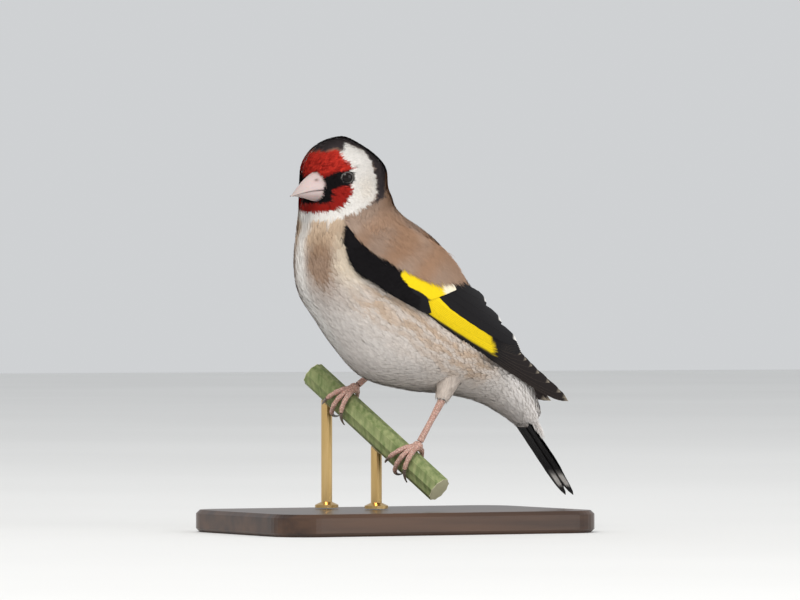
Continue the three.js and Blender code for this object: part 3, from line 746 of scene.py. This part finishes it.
def scatter(density):
    """Roots spread evenly over the body by density, a function of the points giving tufts per mm2."""
    rows, columns = 420, 260
    place_edges = np.linspace(0.1, BODY_END - 0.05, rows + 1)
    angle_edges = np.linspace(-math.pi, math.pi, columns + 1)
    place, angle = crossed(place_edges, angle_edges)
    corners = body_point(place, angle)
    across = corners[:-1, 1:] - corners[:-1, :-1]
    down = corners[1:, :-1] - corners[:-1, :-1]
    area = np.linalg.norm(np.cross(across, down), axis=-1)
    middle = (corners[1:, 1:] + corners[:-1, :-1]) / 2
    wanted = area * density(middle)
    count = np.floor(wanted + rng.random(wanted.shape)).astype(int)
    cell = np.repeat(np.arange(wanted.size), count.ravel())
    r, c = cell // columns, cell % columns
    place = place_edges[r] + rng.random(len(cell)) * (place_edges[1] - place_edges[0])
    angle = angle_edges[c] + rng.random(len(cell)) * (angle_edges[1] - angle_edges[0])
    return place, angle


def lay_direction(place, angle, points):
    """The way feathers lie: back from the bill on the head, towards the tail on the body."""
    x, z = np.abs(points[..., 0]), points[..., 2]
    _, b = wing_frame(points)
    flank = FLANK_LIE * smooth(x, 4, 11) * (1 - smooth(b, 6, 12)) * (1 - smooth(z, 68, 80))
    along_wing = np.array([0, math.cos(WING["dip"]), -math.sin(WING["dip"])])
    body = body_along(place, angle) * (1 - flank[..., None]) + along_wing * flank[..., None]
    head = unit(points - on_head(LIE_FROM))
    way = mix_into(body, head, smooth(z, 80, 92))
    normal = body_normal(place, angle)
    return unit(way - normal * np.sum(way * normal, axis=-1, keepdims=True))


def tuft_lines(tree, points, way, length):
    """Each tuft's middle line, kept on the body's outer face, with the face's normals."""
    lines = [points]
    normals = []
    for _ in range(KNOTS - 1):
        ahead = lines[-1] + way * (length / (KNOTS - 1))[:, None]
        found = [tree.find_nearest(Vector(p)) for p in ahead]
        normal = np.array([f[1] for f in found])
        normals.append(normal)
        lines.append(np.array([f[0] for f in found]))
        way = unit(way - normal * np.sum(way * normal, axis=-1, keepdims=True))
    normals.insert(0, normals[0])
    return np.stack(lines, axis=1), np.stack(normals, axis=1)


def ribbons(tufts):
    """Narrow pointed ribbons fanned over each tuft's line, shaded as the body under them.

    Returns points, faces, share along, owner and the way each point faces.
    """
    lines, normals, length = tufts["lines"], tufts["normals"], tufts["length"][:, None, None]
    count = len(lines)
    t = np.linspace(0, 1, KNOTS)
    side = unit(np.cross(normals, unit(np.gradient(lines, axis=1))))
    fan = np.linspace(-1, 1, STRANDS)[None, :] + rng.normal(0, FAN_NOISE, (count, STRANDS))
    reach = 1 - REACH_DROP * fan**2 + rng.normal(0, REACH_NOISE, (count, STRANDS))
    lateral = TUFT_SPREAD * length * fan[:, :, None] * t**0.75
    curve = lines[:, None, :1] + (lines - lines[:, :1])[:, None] * reach[:, :, None, None]
    sunk = tufts["sink"][:, None, None] * (1 - smooth(t, 0, 0.6))
    uneven = 1 + rng.normal(0, RISE_NOISE, (count, STRANDS))
    rise = TUFT_RISE * length * t**2 * uneven[:, :, None]
    lift = (rise - sunk + tufts["lift"][:, None, None])[..., None]
    centre = curve + side[:, None] * lateral[..., None] + normals[:, None] * lift
    width = (STRAND_WIDTH + STRAND_WIDEN * length) * (0.55 + 0.9 * t - 1.35 * t**3)
    half = side[:, None] * (width / 2)[..., None]
    edges = np.stack([centre - half, centre + half], axis=3)[:, :, :-1].reshape(count * STRANDS, -1, 3)
    points = np.concatenate([edges, centre[:, :, -1].reshape(-1, 1, 3)], axis=1)
    per = points.shape[1]
    start = (np.arange(count * STRANDS) * per)[:, None, None]
    quads = np.array([[2 * k, 2 * k + 2, 2 * k + 3, 2 * k + 1] for k in range(KNOTS - 2)])
    faces = [(start + quads).reshape(-1, 4), (start + [[per - 3, per - 1, per - 2]]).reshape(-1, 3)]
    share = np.tile(np.append(np.repeat(t[:-1], 2), 1.0), count * STRANDS)
    knots = np.minimum(np.arange(per) // 2, KNOTS - 1)
    facing = np.repeat(normals[:, knots], STRANDS, axis=0).reshape(-1, 3)
    return points.reshape(-1, 3), faces, share, np.repeat(np.arange(count), STRANDS * per), facing


def coat_piece(name, tufts, made):
    points, faces, share, owner, facing = ribbons(tufts)
    per_strand = 2 * KNOTS - 1
    shade = np.repeat(1 + rng.normal(0, 0.035, len(points) // per_strand), per_strand)
    dark = np.minimum(ROOT_SHADE + (1 - ROOT_SHADE) * share / 0.6, 1)
    tint = np.clip(tufts["colour"][owner] * (shade * dark)[:, None], 0, 1)
    patch = tufts["bake"][owner] + PATCH * np.stack([np.cos(7 * share), np.sin(7 * share)], axis=-1)
    new_object(name, points, faces, made, tint=tint, bake=patch, facing=facing)


def tuft_density(points):
    """Tufts to the square millimetre."""
    return BODY_TUFTS + (HEAD_TUFTS - BODY_TUFTS) * smooth(points[..., 2], 80, 90)


def body_tufts(tree):
    """Small feathers all over the head and body, but for what the wings hide."""
    place, angle = scatter(tuft_density)
    points = body_point(place, angle)
    keep = feathered(points)
    place, angle, points = place[keep], angle[keep], points[keep]
    way = lay_direction(place, angle, points)
    height = points[:, 2]
    belly = smooth(np.cos(angle), 0.1, 0.8) * (1 - smooth(height, 66, 76))
    length = BODY_TUFT + BELLY_TUFT * belly + (HEAD_TUFT - BODY_TUFT) * smooth(height, 80, 94)
    length = length * rng.uniform(0.85, 1.15, len(points)) * (1 - 0.5 * face_share(points))
    lines, normals = tuft_lines(tree, points, unit(way + rng.normal(0, 0.04, way.shape)), length)
    return {
        "lines": lines,
        "normals": normals,
        "length": length,
        "sink": coat_depth(points) * TUFT_SINK,
        "lift": TUFT_LIFT - RUMP_DROP * smooth(points[:, 1], 34, 41),
        "colour": markings(lines[:, 2]) * rng.normal(1, 0.035, (len(points), 1)),
        "bake": unwrap_at(place, angle),
    }


def outer_x(tree, points, sign):
    """How far out the body's side lies at each point's Y and Z."""
    reach = 60
    out = np.zeros(len(points))
    for index, (_, y, z) in enumerate(points):
        hit = tree.ray_cast(Vector((sign * reach, y, z)), Vector((-sign, 0, 0)))[0]
        out[index] = abs(hit[0]) if hit else 0
    return out


def shoulder_tufts(tree, side, name):
    """One sheet of small feathers laid over the folded wing and the body beside it."""
    sign = SIDES[side]
    region, count, length, dip, lift = SHEETS[name]
    low, high = np.min(region, axis=0), np.max(region, axis=0)
    spots = rng.uniform(low, high, (count, 2))
    spots = spots[inside(spots[:, 0], spots[:, 1], region) > 0]
    angle = math.radians(dip) + rng.normal(0, 0.08, len(spots))
    way = np.stack([np.cos(angle), -np.sin(angle)], axis=-1)
    size = length * rng.uniform(0.85, 1.15, len(spots))
    lines, normals = [], []
    for t in np.linspace(0, 1, KNOTS):
        a, b = (spots - way * (size * (1 - t))[:, None]).T
        face = wing_point(a, b, 0) * (sign, 1, 1)
        normals.append(unit(wing_point(a, b, -1) * (sign, 1, 1) - face))
        face[:, 0] = sign * np.maximum(np.abs(face[:, 0]), outer_x(tree, face, sign))
        lines.append(face)
    lines = np.stack(lines, axis=1)
    across = (spots[:, 0] - low[0]) / (high[0] - low[0])
    smoothed = lines.copy()
    smoothed[:, 1:-1] = (lines[:, :-2] + 2 * lines[:, 1:-1] + lines[:, 2:]) / 4
    return {
        "lines": smoothed,
        "normals": np.stack(normals, axis=1),
        "length": size,
        "sink": np.full(len(spots), SHEET_SINK),
        "lift": np.full(len(spots), lift),
        "colour": sheet_colour(name, smoothed[:, 2]) * rng.normal(1, 0.06, (len(spots), 1)),
        "bake": np.stack([0.8 + 0.19 * across, 0.25 + 0.24 * sign + 0.02 * spots[:, 1]], axis=-1),
    }


def sheet_colour(name, points):
    if name == "lesser_coverts":
        return np.asarray(BLACK)
    # Scapulars: tawny, with paler grey patches towards the sides as painted sheen
    share = np.clip(0.35 + ragged(points, 14, 0.5, 6), 0, 0.9) * smooth(np.abs(points[:, 0]), 3, 10)
    return mix(TAWNY, BACK_SHEEN, share)


def sleeve_tufts(kind, root, tip, first, half_sizes, colour):
    """Small feathers round a sleeve, from its root to its tip. Half sizes follow the share along it."""
    count, roots, lengths, sink, (level, spread), left = SLEEVES[kind]
    whole, axis = np.linalg.norm(tip - root), unit(tip - root)
    second = np.cross(axis, first)
    start = rng.uniform(*roots, count)
    angle = rng.uniform(0, 2 * math.pi, count)
    length = rng.uniform(*lengths, count)
    shares = start[:, None] + np.linspace(0, 1, KNOTS) * (length / whole)[:, None]
    shares = np.minimum(shares, SLEEVE_END)
    wide, high = half_sizes(shares)
    cos, sin = np.cos(angle)[:, None], np.sin(angle)[:, None]
    out = first * (wide * cos)[..., None] + second * (high * sin)[..., None]
    return {
        "lines": root + axis * (shares * whole)[..., None] + out,
        "normals": unit(first * (cos / wide)[..., None] + second * (sin / high)[..., None]),
        "length": length,
        "sink": np.full(count, sink),
        "lift": np.zeros(count),
        "colour": np.asarray(colour) * rng.normal(level, spread, (count, 1)),
        "bake": strip_at(left, angle, start),
    }


def thigh_frame(side):
    """A thigh's root and tip, the radii there, and a direction across it."""
    root, tip, wide, narrow = THIGHS[side]
    root, tip = np.array(root), np.array(tip)
    return root, tip, wide, narrow, unit(np.cross(tip - root, (1, 0, 0)))


def thigh_tufts(side):
    """Feathers round a thigh, pointing down to the ankle."""
    root, tip, wide, narrow, first = thigh_frame(side)

    def half_sizes(shares):
        radius = wide + (narrow - wide) * np.minimum(shares, 1)
        radius = radius - 0.1 - 0.7 * (1 - smooth(shares, 0.1, 0.5))
        return radius, radius

    # Grey-white turned towards the flank's colour, and darkened further by the thigh's level in SLEEVES as
    # painted shade under the belly
    return sleeve_tufts("thigh", root, tip, first, half_sizes, mix(GREY_WHITE, FLANK, 0.35))


def tail_coverts():
    """Feathers over the root of the tail, above and below, closing in on the vanes."""

    def half_sizes(shares):
        sizes = mix(TAIL_COVERTS["wide"], TAIL_COVERTS["narrow"], smooth(shares, -0.1, 0.9))
        return sizes[..., 0], sizes[..., 1]

    root, tip = np.array(TAIL_COVERTS["root"]), np.array(TAIL_COVERTS["tip"])
    return sleeve_tufts("tail", root, tip, np.array([1.0, 0, 0]), half_sizes, RUMP)


def coat(tree, made):
    """All the small feathers, in pieces from the crown to the tail."""
    sets = [body_tufts(tree), tail_coverts()]
    for side in SIDES:
        for name in SHEETS:
            sets.append(shoulder_tufts(tree, side, name))
        sets.append(thigh_tufts(side))
    tufts = {key: np.concatenate([group[key] for group in sets]) for key in sets[0]}
    order = np.argsort(-tufts["lines"][:, 0, 2])
    for number, chosen in enumerate(np.array_split(order, math.ceil(len(order) / PIECE_TUFTS))):
        coat_piece(f"coat_{number}", {key: value[chosen] for key, value in tufts.items()}, made)


def face_share(points):
    """1 close to the bill and eye, 0 away from them."""
    return 1 - smooth(np.linalg.norm(points - on_head(FACE_MIDDLE), axis=-1), 4, 12)


def feathered(points):
    """True where feathers grow: not in the mouth, on the eyes or under the wings."""
    grows = np.linalg.norm((points - on_head(MOUTH)) * (1, 1, 0.85), axis=-1) > MOUTH_BARE
    for sign in SIDES.values():
        surface, _, _ = eye_place(sign)
        grows &= np.linalg.norm(points - surface, axis=-1) > EYE_BARE
    a, b = wing_frame(points)
    (start, end), (low, high) = UNDER_WING["a"], UNDER_WING["b"]
    covered = (a > start) & (a < end) & (b > low) & (b < high)
    covered |= (a < UNDER_SCAPULARS["to"]) & (inside(a, b, SCAPULARS) > UNDER_SCAPULARS["edge"])
    return grows & ~(covered & (np.abs(points[..., 0]) > UNDER_WING["out"]))


def thigh_skin(side):
    root, tip, wide, narrow, first = thigh_frame(side)
    second = np.cross(unit(tip - root), first)
    share, angle = crossed(np.linspace(0, 1, THIGH_RINGS), circle(THIGH_AROUND))
    radius = wide + (narrow - wide) * share - THIGH_SKIN
    out = np.cos(angle)[..., None] * first + np.sin(angle)[..., None] * second
    points = root + (tip - root) * share[..., None] + out * radius[..., None]
    faces = grid_faces(THIGH_RINGS, THIGH_AROUND, closed=True)
    return points.reshape(-1, 3), faces, strip_at(0.4, angle, share).reshape(-1, 2)


def skin(made):
    """One skin from the crown to the tail coverts, with both thighs, under the whole coat."""
    points, faces, unwrap = body_grid(1)
    tint = markings(body_grid(0)[0])
    for side in SIDES:
        more, more_faces, more_unwrap = thigh_skin(side)
        faces = np.concatenate([faces, more_faces + len(points)])
        points = np.concatenate([points, more])
        unwrap = np.concatenate([unwrap, more_unwrap])
        tint = np.concatenate([tint, np.broadcast_to(GREY_WHITE, more.shape)])
    piece = new_object("skin", points, [faces], made, tint=tint * SKIN_SHADE, bake=unwrap)
    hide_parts("head", "neck", "torso", "rump", "thigh_left", "thigh_right")


# Head


def eye_place(sign):
    """An eye's surface point, the way it faces, and its ball's middle."""
    yaw = EYE["yaw"]
    out = on_head((sign * math.cos(yaw), TURN_Y - math.sin(yaw), 0)) - (0, TURN_Y, 0)
    surface = on_head((sign * EYE["aside"], HEAD["y"] - EYE["ahead"], EYE["z"]))
    return surface, out, surface - out * EYE["sunk"]


def eyes():
    made, lid = plain_material("eye"), plain_material("lid")
    theta, phi = crossed(np.linspace(0.001, math.pi, EYE_RINGS), circle(EYE_AROUND))
    ball = np.stack([np.sin(theta) * np.cos(phi), np.sin(theta) * np.sin(phi), np.cos(theta)], axis=-1)
    faces = grid_faces(EYE_RINGS, EYE_AROUND, closed=True)
    for side, sign in SIDES.items():
        surface, out, centre = eye_place(sign)
        points = (centre + EYE["radius"] * ball).reshape(-1, 3)
        piece = new_object(f"eyeball_{side}", points, [faces], made)
        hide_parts(f"eye_{side}")
        lid_ring(f"lid_{side}", surface, out, lid)


def lid_ring(name, surface, out, made):
    side = unit(np.cross((0, 0, 1), out))
    up = np.cross(out, side)
    a, b = crossed(np.linspace(0, 2 * math.pi, LID_AROUND + 1), circle(LID_RIM))
    radius = LID[0] + LID[1] * np.cos(b)
    points = (
        surface
        + side * (radius * np.cos(a) * 1.05)[..., None]
        + up * (radius * np.sin(a) * 0.97)[..., None]
        + out * (0.04 + LID[1] * np.sin(b))[..., None]
    )
    faces = grid_faces(LID_AROUND + 1, LID_RIM, closed=True)
    new_object(name, points.reshape(-1, 3), [faces], made)


def seam_height(share):
    """Height of the line between the two halves of the bill, which arches a little."""
    straight = BILL["seam_base"] + (BILL["seam_tip"] - BILL["seam_base"]) * share
    return straight + BILL["arch"] * np.sin(math.pi * share)


def bill():
    made = bill_material()
    share, angle = crossed(np.linspace(0, 1, BILL_RINGS), np.linspace(0, math.pi, BILL_AROUND))
    lift = np.maximum(np.sin(angle), 0) ** 0.85
    faces = grid_faces(BILL_RINGS, BILL_AROUND, closed=True)
    for name, shape, way in (("bill_upper", BILL_UPPER, 1), ("bill_lower", BILL_LOWER, -1)):
        y = BILL["base_y"] + (shape["tip_y"] - BILL["base_y"]) * share
        seam = seam_height((y - BILL["base_y"]) / (BILL["tip_y"] - BILL["base_y"])) + way * MOUTH_GAP / 2
        half = shape["half_width"] * np.maximum(1 - share**1.25, 0.03)
        tall = shape["height"] * np.maximum(1 - share ** shape["taper"], 0.05)
        points = np.stack([half * np.cos(angle), y, seam + tall * lift], axis=-1)
        apart = np.linalg.norm((np.abs(points) - NOSTRIL_AT) * (1, 0.6, 1), axis=-1)
        hole = np.exp(-((apart / NOSTRIL_RADIUS) ** 2)) * (way > 0)
        points = points * (1 - 0.12 * hole[..., None] * (1, 0, 0))
        # The nostril is darkened with BILL_DARK: painted shade in its hollow
        tint = mix(mix(BILL_BASE, BILL_TIP, smooth(share, 0.55, 1)), BILL_DARK, 0.85 * hole)
        # Darker along the edges where the two halves meet: painted shade in the mouth line
        tint = (tint * (1 - 0.25 * (1 - smooth(lift, 0, 0.12)))[..., None]).reshape(-1, 3)
        points = turn(points, np.ones(share.shape)).reshape(-1, 3)
        piece = new_object(name + "_horn", points, [faces], made, tint=tint)
        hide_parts(name)


# Wing


def wing_point(a, b, depth):
    """Place on the folded left wing's outer face, sunk by depth."""
    a, b, depth = np.broadcast_arrays(*(np.asarray(v, float) for v in (a, b, depth)))
    row = between(WING_ROWS, np.clip(a, 0, 89) / WING_STEP)
    rise = b - WING["crest"]
    slope = 2 * row[..., 1] * rise
    lean = 1 / np.sqrt(1 + slope**2)
    x = row[..., 0] - row[..., 1] * rise**2 - depth * lean
    height = b - depth * slope * lean
    cos, sin = math.cos(WING["dip"]), math.sin(WING["dip"])
    return np.stack([x, WING["y"] + a * cos + height * sin, WING["z"] - a * sin + height * cos], axis=-1)


def tail_point(along, across, depth):
    """Place on the closed tail's upper face, sunk by depth."""
    along, across, depth = np.broadcast_arrays(*(np.asarray(v, float) for v in (along, across, depth)))
    cos, sin = math.cos(TAIL["dip"]), math.sin(TAIL["dip"])
    y = TAIL["tip_y"] - along * cos - depth * sin
    return np.stack([across, y, TAIL["tip_z"] + along * sin - depth * cos], axis=-1)


def vane(place, line, width, depth, bow, paint, shaft=0.5):
    """One feather as a thin cambered blade with a raised shaft: points, faces, tint and barb length."""
    spread = np.append(np.linspace(0, 1, 9), [VANE_RIM, shaft - 0.03, shaft, shaft + 0.03])
    share, across = crossed(np.linspace(0, 1, VANE_ROWS), np.sort(spread))
    a0, b0, a1, b1 = line
    root = 0.45 + 0.55 * smooth(share, 0, 0.3)
    tip = np.maximum(1 - (np.maximum(share - 0.78, 0) / 0.22) ** 2.6, 0) ** 0.6
    side = across - 0.5
    edge = 0.05 * np.sin(share * 60 + 9 * depth + 3 * b1) * (np.abs(side) > 0.45)
    a = a0 + (a1 - a0) * share
    b = b0 + (b1 - b0) * share - bow * np.sin(math.pi * share) + side * width * root * tip + edge
    ridge = SHAFT_RIDGE * np.exp(-(((across - shaft) / 0.02) ** 2)) * (1 - share)
    sunk = depth + VANE_DROOP * (2 * np.abs(side)) ** 2 - ridge
    faces = [place(a, b, sunk), place(a, b, sunk + VANE_THICK)]
    points = np.concatenate([face.reshape(-1, 3) for face in faces])
    count = len(spread)
    top = grid_faces(VANE_ROWS, count)
    under = grid_faces(VANE_ROWS, count, start=VANE_ROWS * count)[:, ::-1]
    tint = np.concatenate([paint(a, b, share, across).reshape(-1, 3)] * 2)
    barb = share * math.hypot(a1 - a0, b1 - b0) - BARB_SLANT * np.abs(across - shaft) * width
    return points, np.concatenate([top, under]), tint, np.concatenate([barb.ravel()] * 2)


def join_meshes(parts):
    """Several vanes as one mesh: points, faces, tint and barb length."""
    starts = np.cumsum([0] + [len(part[0]) for part in parts[:-1]])
    faces = np.concatenate([part[1] + start for part, start in zip(parts, starts)])
    points, tint, barb = (np.concatenate([part[k] for part in parts]) for k in (0, 2, 3))
    return points, faces, tint, barb


def paint_wing(kind, number):
    """Colour of one wing feather from its place on the wing."""

    def paint(a, b, share, across):
        colour = mix(BLACK, WING_BROWN, 0.8 * smooth(a, 48, 62) * (kind == "primaries"))
        if kind == "greater_coverts":
            yellow = smooth(inside(a, b, YELLOW_COVERTS), -0.3, 0.3)
            colour = mix_into(colour, YELLOW, yellow)
            pale = smooth(inside(a, b, WHITE_COVERTS) + 0.25 * np.sin(across * 17), -0.7, 0.5)
            colour = mix_into(colour, CREAM_TIP, 0.9 * pale)
        if kind in ("primaries", "secondaries"):
            outermost = kind == "primaries" and number == 0
            # Outermost primary: black outer web. The others: a thin darker line at each vane's edge, partly
            # the feathers' dark edges and partly painted shade in the gaps between vanes
            web_and_gap_shade = 1 - smooth(across, 0.06, 0.12) if outermost else 0.45 + 0.55 * smooth(across, 0, 0.02)
            colour = mix_into(colour, YELLOW, smooth(inside(a, b, YELLOW_PANEL), -0.25, 0.25) * web_and_gap_shade)
            edge = (1 - smooth(across, 0, 0.02)) * smooth(a, 50, 54)
            colour = mix_into(colour, WING_EDGE, 0.4 * edge)
        if kind in ("tertials", "secondaries"):
            colour = mix_into(colour, WHITE, smooth(share, 0.955, 0.97) * smooth(across, 0.5, 0.7))
        if kind == "primaries":
            colour = mix_into(colour, CREAM, 0.4 * smooth(share, 0.985, 0.995))
        return colour

    return paint


def tier_feathers(kind, sign):
    """All the feathers of one tier of a wing, each a layer further out than the one before."""
    count, first, last = TIER_FEATHERS[kind]
    width, layer, bow = TIER_SHAPE[kind]
    shaft = 0.5 if kind == "tertials" else 0.3
    parts = []
    for number in range(count):
        share = number / (count - 1)
        line = [f * (1 - share) + s * share for f, s in zip(first, last)]
        if kind == "primaries":
            line[2] += PRIMARY_REACH[number] - PRIMARY_REACH[0] * (1 - share)
        depth = (layer - number * LAYER_STEP) * WING_LAYER
        paint = paint_wing(kind, number)
        points, faces, tint, barb = vane(wing_point, line, width, depth, bow, paint, shaft)
        parts.append((points * (sign, 1, 1), faces[:, ::sign], tint, barb))
    return join_meshes(parts)


def wings(made):
    for side, sign in SIDES.items():
        for kind in TIER_FEATHERS:
            points, faces, tint, barb = tier_feathers(kind, sign)
            name = f"{kind}_{side}"
            piece = new_object(name, points, [faces], made, tint=tint, barb=barb)
            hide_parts(f"wing_{side}")


def paint_tail(number):
    """Black, with white inner spots near the tips of the outer feathers and tips of the middle ones."""

    def paint(a, b, share, across):
        colour = np.broadcast_to(np.asarray(BLACK), share.shape + (3,))
        if number < 4:
            mark = smooth(share, 0.93, 0.96)
        else:
            mark = smooth(share, 0.82, 0.85) * (1 - smooth(share, 0.91, 0.94))
        return mix_into(colour, WHITE, mark * smooth(across, 0.2, 0.4) * (1 - smooth(across, 0.88, 0.95)))

    return paint


def tail(made):
    parts = []
    for pair in range(6):
        share = pair / 5
        for sign in SIDES.values():
            line = [
                TAIL["length"],
                sign * (0.2 * (1 - share) + TAIL_SPREAD["root"] * share),
                TAIL["notch"] * (1 - share**1.3),
                sign * (0.7 * (1 - share) + TAIL_SPREAD["tip"] * share),
            ]
            depth = pair * TAIL_LAYER + (0 if sign > 0 else TAIL_LAYER / 2)
            parts.append(vane(tail_point, line, TAIL_WIDTH, depth, 0, paint_tail(pair)))
    points, faces, tint, barb = join_meshes(parts)
    piece = new_object("tail_feathers", points, [faces], made, tint=tint, barb=barb)
    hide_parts("tail")


# Stand and stage


def carried_over():
    """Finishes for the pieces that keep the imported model's own shape."""
    leg = leg_material()
    finishes = {"shank": leg, "foot": leg, "claw": plain_material("claw")}
    finishes.update({"stand_perch": stem_material(), "stand_base": wood_material()})
    finishes["stand_rod"] = plain_material("brass")
    for name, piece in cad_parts.items():
        for start, finish in finishes.items():
            if name.startswith(start):
                piece.data.materials.clear()
                piece.data.materials.append(finish)


def floor():
    corners = [(-1, -1, 0), (1, -1, 0), (1, 1, 0), (-1, 1, 0)]
    mesh = bpy.data.meshes.new("floor")
    mesh.from_pydata([Vector(corner) * FLOOR_HALF * MM for corner in corners], [], [(0, 1, 2, 3)])
    mesh.materials.append(plain_material("floor"))
    placed("floor", mesh)


def area_light(name, where, size, power, colour):
    lamp = bpy.data.lights.new(name, "AREA")
    lamp.size = size * MM
    lamp.energy = power
    lamp.color = colour
    made = placed(name, lamp)
    made.location = Vector(where) * MM
    aim = Vector(CAMERA_TARGET) - Vector(where)
    made.rotation_euler = aim.to_track_quat("-Z", "Y").to_euler()


def lights():
    world = bpy.data.worlds.new("studio")
    world.use_nodes = True
    background = world.node_tree.nodes["Background"]
    background.inputs["Color"].default_value = SKY
    background.inputs["Strength"].default_value = SKY_LEVEL
    bpy.context.scene.world = world
    for name, light in LIGHTS.items():
        area_light(name, *light)


def camera():
    angle = math.radians(CAMERA_AZIMUTH)
    target = Vector(CAMERA_TARGET)
    lens = bpy.data.cameras.new("camera")
    lens.sensor_width = SENSOR
    lens.lens = SENSOR * CAMERA_DISTANCE / VIEW_WIDTH
    lens.clip_start = 0.01
    lens.clip_end = 20
    made = placed("camera", lens)
    made.location = (target + Vector((math.sin(angle), -math.cos(angle), 0)) * CAMERA_DISTANCE) * MM
    made.rotation_euler = (target * MM - made.location).to_track_quat("-Z", "Y").to_euler()
    bpy.context.scene.camera = made


bpy.context.scene.view_settings.view_transform = "Standard"
camera()
lights()
floor()
carried_over()
feather = feather_material()
blade = vane_material()
skin(feather)
coat(surface_tree(), feather)
eyes()
bill()
wings(blade)
tail(blade)
